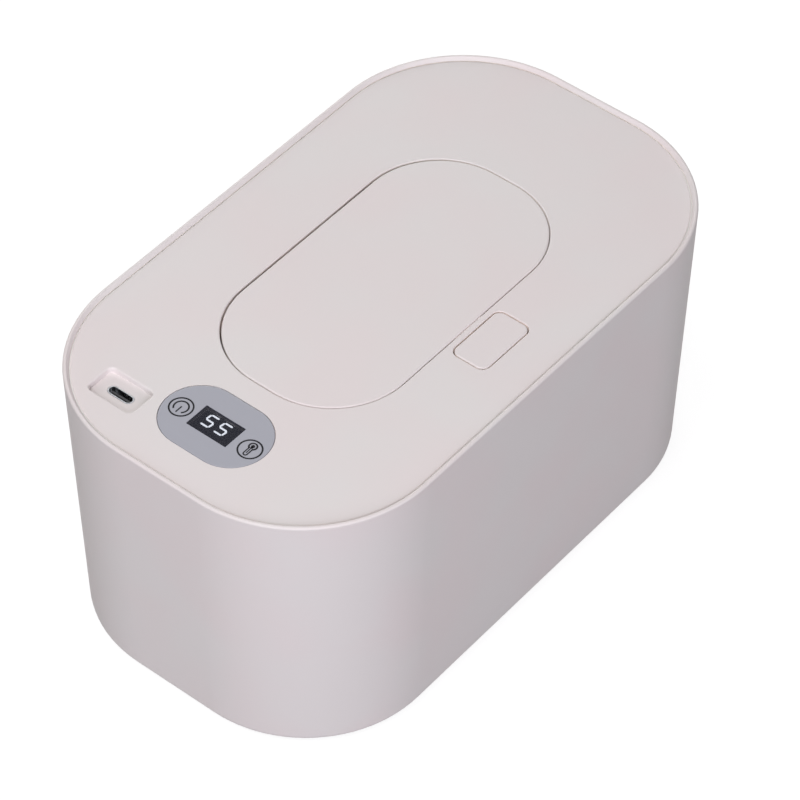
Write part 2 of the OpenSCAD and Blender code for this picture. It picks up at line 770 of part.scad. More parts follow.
module lid_inner_cover() {
    lean = 0.4;
    edge = 1;
    guide_h = 1.8;
    guide_t = 1.4;
    low_r = pan_r - lean;
    in_r = pan_r - pan_t;
    rim_r = lid_r(skirt_z) - fit;
    guide_r = rim_r - skirt_t;
    hole_r = screw_r + 2 * fit;
    sink_r = screw_head_r + fit;
    seal_in_r = seal_mid_r - lid_seal_w / 2;
    seal_out_r = seal_mid_r + lid_seal_w / 2;
    groove_z = pan_flange_z + seal_groove;
    profile = [
        [0, pan_z], [low_r - edge, pan_z], [low_r, pan_z + edge], [pan_r, pan_flange_z],
        [seal_in_r, pan_flange_z], [seal_in_r, groove_z], [seal_out_r, groove_z], [seal_out_r, pan_flange_z],
        [rim_r, pan_flange_z], [rim_r, skirt_z], [guide_r, skirt_z], [guide_r, skirt_z + guide_h],
        [guide_r - guide_t, skirt_z + guide_h], [guide_r - guide_t, skirt_z],
        [in_r, skirt_z], [in_r - lean, pan_z + pan_t], [0, pan_z + pan_t]
    ];
    color(liner_white) difference() {
        union() {
            filled(cx, cy, profile, pan_z, pan_z + pan_t);
            block(plate_cx, plate_cy, plate_r + stack_gap + pan_t, pan_z, tray_z);
            posts(lid_screw_spots, boss_r, pan_z, boss_z);
        }
        block(plate_cx, plate_cy, plate_r + stack_gap, pan_z - over, stack_z);
        posts(lid_screw_spots, hole_r, pan_z - eps, boss_z + over);
        at_each(lid_screw_spots) translate([0, 0, pan_z - eps])
            cylinder(r1 = sink_r, r2 = hole_r, h = sink_r - hole_r);
        block(slot_cx, 0, chimney_in_r, stack_z - over, tray_z + over);
        posts(sensor_spots, sensor_r + lead_hole, stack_z - over, tray_z + over);
        posts(lead_spots, lead_r + lead_hole, stack_z - over, tray_z + over);
        posts(plate_screw_spots, plate_screw_r + pilot, stack_z - over, tray_z + over);
    }
    color(liner_white) {
        band(slot_cx, 0, chimney_in_r, chimney_out_r, pan_z, well_under_z);
        at_each(plate_screw_spots) tube(plate_screw_r + pilot, plate_boss_r, stack_z, plate_boss_z);
    }
}

module lid_gasket() {
    slack = 0.05;
    bead_r = 0.75;
    shoulder_z = lid_seal_z + 0.8;
    r0 = seal_mid_r - lid_seal_w / 2 + slack;
    r1 = seal_mid_r + lid_seal_w / 2 - slack;
    top = lid_seal_z + lid_seal_h;
    color(silicone) ring(cx, cy, concat(
        [[r0, top], [r0, shoulder_z]],
        arc([seal_mid_r, lid_seal_z + bead_r], bead_r, 200, 340, 8),
        [[r1, shoulder_z], [r1, top]]
    ));
}

module lid_screws() {
    sunk = 0.1;
    color(steel) at_each(lid_screw_spots)
        screw(screw_r, screw_head_r, pan_z + sunk, top_z - pan_z - 2.2);
}

module dispensing_insert() {
    web = 0.9;
    edge = 0.4;
    flange = 2;
    slit_edge = 0.5;
    neck_r = throat_r - 0.1;
    lip_z = well_under_z - 0.05;
    low_z = well_under_z - 0.6;
    color(silicone) ring(slot_cx, 0, [
        [insert_r, well_z], [insert_r, well_z + insert_t], [insert_r - flange, well_z + insert_t],
        [slit_r + edge, low_z + web], [slit_r, low_z + web - edge], [slit_r, low_z - slit_edge],
        [slit_r + web, low_z - slit_edge], [slit_r + web, low_z], [throat_r - flange, low_z + 0.3],
        [insert_lip_r, low_z - 0.3], [insert_lip_r, lip_z], [neck_r, lip_z], [neck_r, well_z]
    ]);
}

// ---- Heater on the lid's underside ----

module heating_plate() {
    edge = 0.3;
    hole_r = plate_screw_r + 2 * fit;
    sink_r = plate_head_r + fit;
    profile = [[0, pan_z], [plate_r - edge, pan_z], [plate_r, pan_z + edge], [plate_r, film_z], [0, film_z]];
    color(aluminium) difference() {
        filled(plate_cx, plate_cy, profile, pan_z, film_z);
        block(slot_cx, 0, chimney_out_r + soft_gap, pan_z - over, film_z + over);
        posts(plate_screw_spots, hole_r, pan_z - eps, film_z + over);
        at_each(plate_screw_spots) translate([0, 0, pan_z - eps])
            cylinder(r1 = sink_r, r2 = hole_r, h = sink_r - hole_r);
    }
}

// The film and the felt have the plate's outline drawn in, and holes for what passes through
module heater_layer(inset, z0, z1) {
    hole_gap = 0.4;
    difference() {
        block(plate_cx, plate_cy, plate_r - inset, z0, z1);
        block(slot_cx, 0, chimney_out_r + 1, z0 - over, z1 + over);
        posts(plate_screw_spots, plate_boss_r + hole_gap, z0 - over, z1 + over);
        posts(sensor_spots, sensor_r + hole_gap, z0 - over, z1 + over);
        if (z1 > felt_z + eps) posts(lead_spots, lead_r + lead_hole, z0 - over, z1 + over);
    }
}

module heater_film() {
    color(film_amber) heater_layer(2, film_z, felt_z);
}

module heater_felt() {
    color(felt_white) heater_layer(1.5, felt_z, stack_z);
}

module plate_screws() {
    sunk = 0.1;
    color(steel) at_each(plate_screw_spots)
        screw(plate_screw_r, plate_head_r, pan_z + sunk, plate_boss_z - 1 - pan_z);
}

// A glass bead sensor in a metal cup, standing on the plate
module thermistor() {
    color(steel) translate([sensor_spots[0].x, sensor_spots[0].y, film_z]) rotate_extrude()
        polygon([[0, 0], [sensor_r, 0], [sensor_r, 0.5], [1.6, 0.5], [1.6, 2.4], [1.2, 2.8], [0, 2.8]]);
}

// A round thermal cut-out on the plate, with its cap down
module thermal_cutoff() {
    color(part_black) translate([sensor_spots[1].x, sensor_spots[1].y, film_z]) rotate_extrude()
        polygon([[0, 0], [sensor_r, 0], [sensor_r, 2], [2, 2.4], [2, 3.6], [0, 3.6]]);
}

module sensor_leads() {
    thin_r = 0.4;
    apart = 0.8;
    spread = 1.6;
    rise = 1.2;
    bend = 0.5;
    color(lead_red) for (i = [0, 1], s = [-1, 1]) {
        x = sensor_spots[i].x + s * apart;
        far_x = x + s * spread;
        y = sensor_spots[i].y;
        z0 = film_z + sensor_leads_z[i];
        corners = [[x, y, z0], [x, y, z0 + rise], [far_x, y, z0 + 2 * rise], [far_x, y, board_z]];
        wire(rounded(corners, bend), thin_r);
    }
}

module heater_leads() {
    shift = 2;
    bend = 0.6;
    low = tray_z + 1;
    color(lead_red) for (p = lead_spots) {
        far_x = p.x + shift;
        corners = [[p.x, p.y, felt_z], [p.x, p.y, low], [far_x, p.y, low + 2 * bend], [far_x, p.y, board_z]];
        wire(rounded(corners, bend), lead_r);
    }
}

// ---- Electronics ----

module main_board() {
    half = [board_l / 2, board_w / 2];
    color(board_green) difference() {
        translate([board_x0 + half.x, board_y0 + half.y, 0])
            block(half.x - board_corner, half.y - board_corner, board_corner, board_z, board_top_z);
        posts(board_screw_spots, board_screw_r + fit, board_z - over, board_top_z + over);
    }
}

// A flat chip with its rows of legs, under the board
module controller_chip() {
    half_l = 2;
    half_w = 5;
    chip_h = 1.6;
    stand = 0.2;
    pitch = 1.27;
    leg_w = 0.4;
    leg_t = 0.3;
    leg_l = 1.2;
    legs_per_side = 8;
    at = [panel_x - 0.7, panel_y - 10, board_z];
    color(part_black) translate(at - [half_l, half_w, chip_h]) cube([2 * half_l, 2 * half_w, chip_h - stand]);
    color(steel) translate(at) for (s = [0, 1], i = [0:legs_per_side - 1]) mirror([s, 0, 0])
        translate([half_l - eps, (i - (legs_per_side - 1) / 2) * pitch + leg_w / 2, 0])
            rotate([90, 0, 0]) linear_extrude(leg_w) polygon([
                [0, -3 * leg_t], [leg_l / 2, -3 * leg_t], [leg_l / 2, -stand], [leg_l, -stand],
                [leg_l, 0], [leg_l / 2 - leg_t, 0], [leg_l / 2 - leg_t, -2 * leg_t], [0, -2 * leg_t]
            ]);
}

// A round sounder with its sound hole down
module buzzer() {
    r = 4.5;
    h = 3.6;
    hole_r = 0.9;
    hole_h = 1.6;
    at = [board_x0 + 9.5, board_y0 + 5.5];
    color(part_black) translate([at.x, at.y, board_z - h]) difference() {
        cylinder(r = r, h = h);
        translate([0, 0, -eps]) cylinder(r = hole_r, h = hole_h);
    }
}

// Two capacitors, a power transistor and a plug-in header, all under the board
module board_components() {
    can_r = 2.5;
    can_h = 4.2;
    can_in = 2.8;
    lip = 0.9;
    dent = 0.3;
    transistor = [4.4, 3.4, 1.6];
    header = [3, 7, 2.6];
    header_wall = 0.6;
    header_floor = 0.8;
    color(steel) for (y = [-5, 1.5]) translate([board_x1 - can_in, panel_y + y, board_z - can_h])
        rotate_extrude() polygon([
            [0, dent], [can_r - lip, dent], [can_r - lip, 0], [can_r, 0], [can_r, can_h - 4 * dent],
            [can_r - dent, can_h - 3 * dent], [can_r, can_h - 2 * dent], [can_r, can_h], [0, can_h]
        ]);
    color(part_black) {
        translate([board_x0 + 3, panel_y + 8, board_z - transistor.z]) cube(transistor);
        translate([board_x0 + 1, board_y0 + 6, board_z - header.z]) difference() {
            cube(header);
            translate([header_wall, header_wall, -header_floor])
                cube([header.x - 2 * header_wall, header.y - 2 * header_wall, header.z]);
        }
    }
}

module board_screws() {
    color(steel) {
        at_each(board_screw_spots) pan_screw(board_screw_r, 1.7, board_z, 4.8);
        at_each(usb_screw_spots) pan_screw(usb_screw_r, 1.1, usb_board_z, 4.2);
    }
}

// A round-headed screw with its head under z0
module pan_screw(r, head_r, z0, length) {
    head_h = 0.9;
    edge = 0.4;
    translate([0, 0, z0 - head_h]) rotate_extrude() polygon([
        [0, 0], [head_r * 0.6, 0], [head_r, head_h - edge], [head_r, head_h], [r, head_h],
        [r, head_h + length - r], [0, head_h + length]
    ]);
}

// The display's housing, with a raised face in the lid's window
module display_module() {
    border = 1;
    corner = 0.4;
    size = [face_l + 2 * border, face_w + 2 * border, top_z - fit - board_top_z];
    color(window_black) translate([panel_x, panel_y, 0]) {
        translate([-size.x / 2, -size.y / 2, board_top_z]) cube(size);
        block(face_l / 2 - corner, face_w / 2 - corner, corner, top_z - fit - eps, display_z);
    }
}

// One digit: three bars across it, and two on each side
module digit() {
    reach = (digit_l - segment_w) / 2;
    side_y = (digit_w - segment_w) / 2;
    across = [segment_w, digit_w - segment_w - 2 * segment_gap];
    along = [reach - segment_w - segment_gap, segment_w];
    lean = [[1, 0, 0, 0], [-digit_lean, 1, 0, 0], [0, 0, 1, 0], [0, 0, 0, 1]];
    multmatrix(lean) translate([0, 0, display_z]) linear_extrude(segment_t) {
        for (x = [-1, 0, 1] * reach) translate([x, 0]) square(across, center = true);
        for (x = [-1, 1] * reach / 2, y = [-1, 1] * side_y) translate([x, y]) square(along, center = true);
    }
}

module display_segments() {
    color(lit_white) for (s = [-1, 1])
        translate([panel_x + digit_off, panel_y + s * digit_pitch / 2, 0]) digit();
}

// Springs that carry the touch keys' pads from the board to the underside of the lid
module touch_springs() {
    wire_r = 0.25;
    color(steel) for (s = [-1, 1]) translate([panel_x, panel_y + s * key_y, 0])
        wire(coil_path(3, 2.2, board_top_z, top_z, 5, wire_r), wire_r, 6);
}

module usb_board() {
    usb_top_z = usb_board_z + usb_board_t;
    color(board_green) difference() {
        translate([port_x + usb_board_off, port_y, 0]) block(4.5, 6, board_corner, usb_board_z, usb_top_z);
        posts(usb_screw_spots, usb_screw_r + fit, usb_board_z - over, usb_top_z + over);
    }
}

module usb_socket_shell() {
    z0 = usb_board_z + usb_board_t;
    in_r = socket_h / 2 - socket_t;
    color(steel) translate([port_x, port_y, 0]) rotate([0, 0, 90]) {
        band(socket_cx, 0, in_r, socket_h / 2, z0, port_floor_z);
        block(socket_cx, 0, in_r, z0, z0 + socket_base);
    }
}

module usb_socket_tongue() {
    z0 = usb_board_z + usb_board_t + socket_base;
    w = socket_w - 2.25;
    t = 0.7;
    sunk = 0.8;
    contact = [0.1, 0.5];
    contacts_per_side = 6;
    color(part_black) translate([port_x - t / 2, port_y - w / 2, z0]) cube([t, w, port_floor_z - sunk - z0]);
    contact_h = port_floor_z - 2 * sunk - z0;
    color(steel) translate([port_x, port_y, z0 + contact.y])
        for (s = [-1, 1], i = [0:contacts_per_side - 1])
            translate([s * (t + contact.x) / 2, i - (contacts_per_side - 1) / 2, 0])
                linear_extrude(contact_h) square(contact, center = true);
}

module usb_leads() {
    r = 0.5;
    bend = 0.9;
    hang = 2.2;
    near_y = port_y - 6;
    far_y = board_y1 - 5;
    color(lead_red) for (s = [-1, 1]) {
        near_x = port_x + 3.6 + s;
        far_x = near_x + 4;
        wire(rounded([[near_x, near_y, usb_board_z], [near_x, near_y, usb_board_z - hang],
            [far_x, far_y, board_z - hang], [far_x, far_y, board_z]], bend), r);
    }
}

module control_panel() {
    r = panel_r - panel_gap;
    edge = 0.2;
    z0 = lid_z - panel_t;
    profile = concat([[0, z0], [r, z0]], arc([r - edge, lid_z - edge], edge, 0, 90, 3), [[0, lid_z]]);
    color(panel_grey) translate([panel_x, panel_y, 0]) difference() {
        filled(panel_l / 2 - panel_r, panel_w / 2 - panel_r, profile, z0, lid_z);
        block(window_l / 2 - window_r, window_w / 2 - window_r, window_r, z0 - over, lid_z + over);
    }
}

module display_window() {
    color(window_black) translate([panel_x, panel_y, 0])
        block(window_l / 2 - window_r, window_w / 2 - window_r, window_r - window_gap,
            lid_z - panel_t, lid_z - window_gap);
}

// ---- Flap and hinge ----

module hinge_pins() {
    chamfer = 0.2;
    sunk = 0.1;
    length = hinge_l + 2 * (ear_t - sunk);
    color(steel) for (s = [0, 1]) mirror([s, 0, 0])
        translate([hinge_x - ear_t + sunk, hinge_y, hinge_z]) rotate([0, 90, 0]) rotate_extrude() polygon([
            [0, 0], [pin_r - chamfer, 0], [pin_r, chamfer], [pin_r, length - chamfer],
            [pin_r - chamfer, length], [0, length]
        ]);
}

// Torsion springs on the pins: one leg lies under the flap, the other stands on the pocket's floor
module hinge_spring() {
    turns = 6;
    per_turn = 10;
    r = spring_coil_r;
    x0 = spring_x0 + spring_wire_r;
    run = spring_x1 - spring_x0 - 2 * spring_wire_r;
    under_flap = [x0, hinge_y - arm_out_r - 2, flap_z - soft_gap - spring_wire_r];
    on_floor = [x0 + run, hinge_y - r, hinge_floor_z + spring_wire_r];
    from = 262;
    to = 180 + 360 * turns;
    coil = [for (i = [0:turns * per_turn]) let (s = i / (turns * per_turn), a = from + (to - from) * s)
        [x0 + run * s, hinge_y + r * cos(a), hinge_z + r * sin(a)]];
    color(steel) for (s = [0, 1]) mirror([s, 0, 0])
        wire(concat([under_flap], coil, [on_floor]), spring_wire_r, 6);
}

module flap_cover() {
    profile = concat([[0, flap_z], [flap_r - flap_lean, flap_z]],
        arc([flap_r - flap_edge_r, lid_z - flap_edge_r], flap_edge_r, 0, 90), [[0, lid_z]]);
    skirt_r = flap_r - skirt_inset;
    skirt_low = flap_z - flap_skirt_h;
    skirt_end_x = flap_cx + 9;
    slot_t = 2 * catch_side_gap;
    slot_x = catch_w / 2 + slot_t / 2;
    seal_rib = 0.9;
    seal_rib_t = 1.1;
    seal_rib_mid = (flap_seal_w + seal_rib_t) / 2 + 0.1;
    front_y = flap_y - flap_half_w;
    color(shell_white) difference() {
        union() {
            translate([0, flap_y, 0]) {
                filled(flap_cx, flap_cy, profile, flap_z, lid_z);
                difference() {
                    band(flap_cx, flap_cy, skirt_r - flap_skirt_t, skirt_r, skirt_low, flap_z + eps);
                    translate([-skirt_end_x, 0, skirt_low - over])
                        cube([2 * skirt_end_x, body_w, flap_skirt_h + over]);
                    for (s = [-1, 1]) translate([s * slot_x - slot_t / 2, -body_w / 2, skirt_low - over])
                        cube([slot_t, body_w / 2, flap_skirt_h + over]);
                }
            }
            for (s = [-1, 1]) band(slot_cx, 0, flap_seal_r + s * seal_rib_mid - seal_rib_t / 2,
                flap_seal_r + s * seal_rib_mid + seal_rib_t / 2, flap_z - seal_rib, flap_z + eps);
            for (s = [0, 1]) mirror([s, 0, 0]) translate([arm_x, hinge_y, hinge_z])
                rotate([90, 0, 90]) linear_extrude(arm_w) hinge_arm();
            flap_catch(front_y);
        }
        translate([-hinge_x - hinge_l, hinge_y, hinge_z]) rotate([0, 90, 0])
            cylinder(r = pin_r + run_gap, h = 2 * (hinge_x + hinge_l));
    }
}

// A hinge arm seen along its axis: an eye, a stem down from it and a hook round to the flap's plate
module hinge_arm() {
    circle(r = eye_r);
    translate([stem_y, -arm_in_r - arm_t / 2]) square([arm_t, arm_in_r + arm_t / 2]);
    intersection() {
        difference() {
            circle(r = arm_out_r);
            circle(r = arm_in_r);
        }
        translate([-arm_out_r - over, -arm_out_r - over])
            square([arm_out_r + over + stem_y + arm_t, arm_out_r + over]);
    }
    translate([-arm_out_r, -eps]) square([arm_t, flap_z - hinge_z + 2 * eps]);
}

// The catch on the flap's front edge: a springy leg with a nib, and a lip that closes the seam
module flap_catch(front_y) {
    leg_y = front_y + skirt_inset + catch_t;
    lip_gap = 0.12;
    lip = flap_gap - lip_gap;
    translate([catch_w / 2, 0, 0]) rotate([0, -90, 0]) linear_extrude(catch_w) polygon([
        [flap_z + eps, leg_y], [flap_z + eps, front_y + skirt_inset],
        [catch_z + nib_h, front_y + skirt_inset], [catch_z + nib_h, front_y], [catch_z + nib_h / 2, front_y],
        [catch_z, front_y + skirt_inset], [catch_z, leg_y]
    ]);
    translate([-catch_w / 2, front_y - lip, flap_z]) cube([catch_w, lip + 1, flap_t - flap_edge_r]);
}

module flap_gasket() {
    bead_r = 0.7;
    band_t = 0.9;
    r0 = flap_seal_r - flap_seal_w / 2;
    r1 = flap_seal_r + flap_seal_w / 2;
    low = flap_z - flap_seal_h;
    color(silicone) ring(slot_cx, 0, concat(
        [[r0, flap_z], [r0, flap_z - band_t]],
        arc([flap_seal_r, low + bead_r], bead_r, 200, 340, 8),
        [[r1, flap_z - band_t], [r1, flap_z]]
    ));
}

// ---- Button ----

module latch_button() {
    edge = 0.5;
    r = cap_r;
    under_z = lid_z - cap_t;
    top = concat([[0, under_z], [r, under_z]], arc([r - edge, lid_z - edge], edge, 0, 90), [[0, lid_z]]);
    tab_x = button_l / 2 - button_gap - eps + tab_l / 2;
    tab_z = top_z - 0.1 - tab_h / 2;
    back_y = button_y + button_w / 2 - button_gap;
    wedge_y = back_y + bridge_w + 0.2;
    wedge_z = top_z - 0.6;
    color(shell_white) {
        translate([0, button_y, 0]) {
            filled(button_cx, button_cy, top, under_z, lid_z);
            band(button_cx, button_cy, r - cap_wall, r, cap_skirt_z, under_z + eps);
            for (s = [-1, 1]) {
                translate([s * tab_x, 0, tab_z]) cube([tab_l, tab_w, tab_h], center = true);
                translate([s * spring_x, 0, under_z - peg_h]) cylinder(r = peg_r, h = peg_h + eps);
            }
        }
        translate([wedge_w / 2, 0, 0]) rotate([0, -90, 0]) linear_extrude(wedge_w) polygon([
            [wedge_z, back_y - eps], [wedge_z, wedge_y], [wedge_z - 0.6, wedge_y], [wedge_z - 3, back_y - eps]
        ]);
    }
}

module latch_springs() {
    wire_r = 0.2;
    color(steel) for (s = [-1, 1]) translate([s * spring_x, button_y, 0])
        wire(coil_path(spring_r, spring_r, pocket_z, lid_z - cap_t, 6, wire_r), wire_r, 6);
}

outer_casing();
inner_bin();
insulation_sleeve();
floor_insulation();
rubber_feet();
lid_top_cover();
lid_inner_cover();
lid_gasket();
lid_screws();
dispensing_insert();
heating_plate();
heater_film();
heater_felt();
plate_screws();
thermistor();
thermal_cutoff();
sensor_leads();
heater_leads();
main_board();
controller_chip();
buzzer();
board_components();
board_screws();
display_module();
display_segments();
touch_springs();
usb_board();
usb_socket_shell();
usb_socket_tongue();
usb_leads();
control_panel();
display_window();
hinge_pins();
hinge_spring();
flap_cover();
flap_gasket();
latch_button();
latch_springs();
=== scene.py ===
import math

import bpy
from mathutils import Matrix, Vector


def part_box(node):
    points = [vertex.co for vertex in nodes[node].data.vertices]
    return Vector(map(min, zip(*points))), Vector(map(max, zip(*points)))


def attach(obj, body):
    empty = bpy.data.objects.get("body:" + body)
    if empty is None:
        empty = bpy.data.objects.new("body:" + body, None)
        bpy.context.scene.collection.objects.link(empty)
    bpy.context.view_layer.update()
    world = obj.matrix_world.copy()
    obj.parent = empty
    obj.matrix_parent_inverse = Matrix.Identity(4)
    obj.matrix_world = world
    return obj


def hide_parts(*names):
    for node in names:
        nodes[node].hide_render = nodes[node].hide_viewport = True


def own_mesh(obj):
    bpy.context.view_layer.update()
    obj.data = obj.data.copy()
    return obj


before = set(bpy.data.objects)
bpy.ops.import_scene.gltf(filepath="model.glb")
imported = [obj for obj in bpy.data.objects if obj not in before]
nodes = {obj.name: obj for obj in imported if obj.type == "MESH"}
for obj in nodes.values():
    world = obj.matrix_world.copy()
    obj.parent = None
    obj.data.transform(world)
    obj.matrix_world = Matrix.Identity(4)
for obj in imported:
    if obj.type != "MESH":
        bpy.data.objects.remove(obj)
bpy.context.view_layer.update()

# ---- Outer casing ----
# The casing is one moulding in warm white ABS. Its walls lean in towards the base so that it leaves
# the mould, whose fine spark finish makes them satin, and its rounded rim frames the lid.


def new_group(name, inputs):
    """A shader node group that makes a finish, as (group, what it is given, what it gives out)."""
    group = bpy.data.node_groups.new(name, "ShaderNodeTree")
    for label, kind, value in inputs:
        socket = group.interface.new_socket(name=label, in_out="INPUT", socket_type="NodeSocket" + kind)
        socket.default_value = value
    for label, kind in (("Colour", "Color"), ("Roughness", "Float"), ("Height", "Float")):
        group.interface.new_socket(name=label, in_out="OUTPUT", socket_type="NodeSocket" + kind)
    return group, group.nodes.new("NodeGroupInput").outputs, group.nodes.new("NodeGroupOutput").inputs


def give_out(group, made, colour, roughness, height):
    """Links what the group gives out."""
    for label, source in (("Colour", colour), ("Roughness", roughness), ("Height", height)):
        group.links.new(source, made[label])


def add(tree, kind, inputs=None, **settings):
    """The outputs of a new node. An input, by name or place, takes a plain value or another node's output."""
    node = tree.nodes.new("ShaderNode" + kind)
    for key, value in settings.items():
        setattr(node, key, value)
    for place, value in (inputs or {}).items():
        if isinstance(value, bpy.types.NodeSocket):
            tree.links.new(value, node.inputs[place])
        else:
            node.inputs[place].default_value = value
    return node.outputs


def calc(tree, operation, *terms):
    """A sum on numbers and other nodes' outputs."""
    return add(tree, "Math", dict(enumerate(terms)), operation=operation)[0]


def sloped(tree, value, slope, start):
    """A value times its slope, plus its start."""
    return calc(tree, "MULTIPLY_ADD", value, slope, start)


def vector_calc(tree, operation, *terms):
    """A sum on places, directions or colours."""
    return add(tree, "VectorMath", dict(enumerate(terms)), operation=operation)[0]


def scaled(tree, vector, factor):
    """A colour or a direction times a number."""
    return add(tree, "VectorMath", {"Vector": vector, "Scale": factor}, operation="SCALE")[0]


def noise(tree, place, scale, detail, distortion=0.0):
    """Soft noise, from 0 to 1."""
    inputs = {"Vector": place, "Scale": scale, "Detail": detail, "Distortion": distortion}
    return add(tree, "TexNoise", inputs)["Fac"]


def ramp(tree, value, start, end, low=0.0, high=1.0):
    """A value that runs from low to high as another runs from start to end."""
    inputs = {"Value": value, "From Min": start, "From Max": end, "To Min": low, "To Max": high}
    return add(tree, "MapRange", inputs)[0]


def blended(tree, share, first, second):
    """The first colour, with a share of the second. A colour mix has them at places 6 and 7."""
    return add(tree, "Mix", {"Factor": share, 6: first, 7: second}, data_type="RGBA")[2]


def srgb(r, g, b):
    """A colour read off a screen, made linear."""
    shares = (r / 255, g / 255, b / 255)
    return tuple(c / 12.92 if c <= 0.04045 else ((c + 0.055) / 1.055) ** 2.4 for c in shares) + (1,)


# The mould's fine grain, with slow cloudy changes of tone, warmth and gloss over a moulding. Upright faces
# in a seam take painted seam light, a lighter, warmer colour for the light that bounces in a seam, from one
# place along X on. Those that face outwards past the reach are a shell's outside, and don't.
mould_finish, given, made = new_group("mould finish", [
    ("Colour", "Color", (0.8, 0.8, 0.8, 1)), ("Painted seam light", "Color", (0.8, 0.8, 0.8, 1)),
    ("Painted seam light share", "Float", 0.0), ("Reach", "Float", 1.0), ("Seams from", "Float", -1.0),
    ("Tone", "Float", 0.03), ("Warmth", "Float", 0.0), ("Roughness", "Float", 0.5),
    ("Roughness spread", "Float", 0.06), ("Grain", "Float", 2600.0), ("Cloud", "Float", 16.0)])
coordinates = add(mould_finish, "TexCoord")
where, facing = coordinates["Object"], coordinates["Normal"]
grain = noise(mould_finish, where, given["Grain"], detail=2.0)
cloud = noise(mould_finish, where, given["Cloud"], detail=3.0)
swing = calc(mould_finish, "SUBTRACT", cloud, 0.5)
tone = sloped(mould_finish, swing, slope=given["Tone"], start=1.0)
levelness = calc(mould_finish, "ABSOLUTE", add(mould_finish, "SeparateXYZ", {"Vector": facing})["Z"])
upright = ramp(mould_finish, levelness, start=0.25, end=0.1)
outward = add(mould_finish, "VectorMath", {0: where, 1: facing}, operation="DOT_PRODUCT")["Value"]
inside = calc(mould_finish, "LESS_THAN", outward, given["Reach"])
place_x = add(mould_finish, "SeparateXYZ", {"Vector": where})["X"]
ahead = calc(mould_finish, "GREATER_THAN", place_x, given["Seams from"])
# Painted light: upright seam walls inside the reach and ahead of the port take a lighter, warmer colour
seam_light = upright
for share in (inside, ahead, given["Painted seam light share"]):
    seam_light = calc(mould_finish, "MULTIPLY", seam_light, share)
tint = blended(mould_finish, seam_light, given["Colour"], given["Painted seam light"])
shade = scaled(mould_finish, tint, tone)
warmer = (0.4, -1.0, -0.8)  # more red, less green and blue
patch = noise(mould_finish, where, scale=34.0, detail=1.0)
patch = ramp(mould_finish, patch, start=0.35, end=0.65, low=-0.5, high=0.5)
patch = calc(mould_finish, "MULTIPLY", patch, given["Warmth"])
warmth = vector_calc(mould_finish, "ADD", scaled(mould_finish, warmer, patch), (1.0, 1.0, 1.0))
shade = vector_calc(mould_finish, "MULTIPLY", shade, warmth)
gloss = sloped(mould_finish, swing, slope=given["Roughness spread"], start=given["Roughness"])
give_out(mould_finish, made, shade, gloss, grain)


def shaded(name, group, settings, depth, plain=None):
    """A material whose colour, roughness and bump come from a group, with the shader's plain values."""
    material = bpy.data.materials.new(name)
    material.use_nodes = True
    tree = material.node_tree
    surface = add(tree, "Group", settings, node_tree=group)
    bump = add(tree, "Bump", {"Height": surface["Height"], "Strength": 1.0, "Distance": depth})
    shader = tree.nodes["Principled BSDF"].inputs
    tree.links.new(surface["Colour"], shader["Base Color"])
    tree.links.new(surface["Roughness"], shader["Roughness"])
    tree.links.new(bump["Normal"], shader["Normal"])
    for label, value in (plain or {}).items():
        shader[label].default_value = value
    return material


def moulded(name, colour, roughness, depth=1e-5, finish=None, plain=None):
    """A plastic, rubber, resin or ink. The finish changes the group's own values, such as its grain."""
    settings = {"Colour": colour, "Roughness": roughness} | (finish or {})
    return shaded(name, mould_finish, settings, depth, plain)


def dress(material, *names):
    """These CAD nodes keep their shape and get this material."""
    for name in names:
        for place in nodes[name].material_slots:
            place.material = material


def casing_abs(name, seam_light_share=1.0, reach=1.0, seams_from=-1.0):
    """The casing's ABS. Its seams' upright walls get painted seam light, lighter and warmer, so the seams
    look warm and brown, not black.
    """
    finish = {"Painted seam light": srgb(252, 241, 234), "Painted seam light share": seam_light_share, "Reach": reach,
              "Seams from": seams_from, "Warmth": 0.025}
    return moulded(name, srgb(229, 222, 222), 0.5, finish=finish, plain={"Specular IOR Level": 0.35})


shell_reach = 0.053  # the outsides of the casing and the lid lie further out than this
# The casing's upright seam walls get painted seam light at three quarters strength
casing_plastic = casing_abs("casing plastic", seam_light_share=0.75, reach=shell_reach)
dress(casing_plastic, "outer_casing")

# ---- Rubber feet ----
# Four discs of matt black rubber keep the warmer from sliding. Each is glued into a shallow hole in the
# floor of the casing, and stands 1 mm proud of it.
foot_rubber = moulded("foot rubber", srgb(54, 54, 56), roughness=0.75, depth=3e-5, finish={"Grain": 1500.0})
dress(foot_rubber, "rubber_feet")

# ---- Foam under and round the bin ----
# Closed-cell foam keeps the heat in: a pad lies on the ribs of the floor, and a sleeve of the same
# foam is pushed round the bin. Both are cut from sheet, so their edges are crisp and their faces cellular.
corner = (0.055, 0.015)  # the centre of every rounded corner of the casing, the bin and the lid


def select_only(obj):
    """Selects one object, or none, in object mode."""
    if bpy.context.object and bpy.context.object.mode != "OBJECT":
        bpy.ops.object.mode_set(mode="OBJECT")
    bpy.ops.object.select_all(action="DESELECT")
    if obj:
        obj.select_set(True)
        bpy.context.view_layer.objects.active = obj


def pick(mesh, kind, test):
    """Selects the "vertices", "edges" or "polygons" of a mesh that pass the test, and nothing else of it."""
    kinds = ("vertices", "edges", "polygons")
    bpy.context.tool_settings.mesh_select_mode = tuple(kind == k for k in kinds)
    for group in (mesh.polygons, mesh.edges, mesh.vertices):
        for part in group:
            part.select = False
    for part in getattr(mesh, kind):
        part.select = test(part)


def settle(obj, name):
    """The turn, size and place go into the mesh, which takes the piece's name."""
    select_only(obj)
    bpy.ops.object.transform_apply(location=True, rotation=True, scale=True)
    obj.name = obj.data.name = name
    return obj


def edit_all():
    """Into edit mode, with all of the mesh selected."""
    bpy.ops.object.mode_set(mode="EDIT")
    bpy.ops.mesh.select_all(action="SELECT")


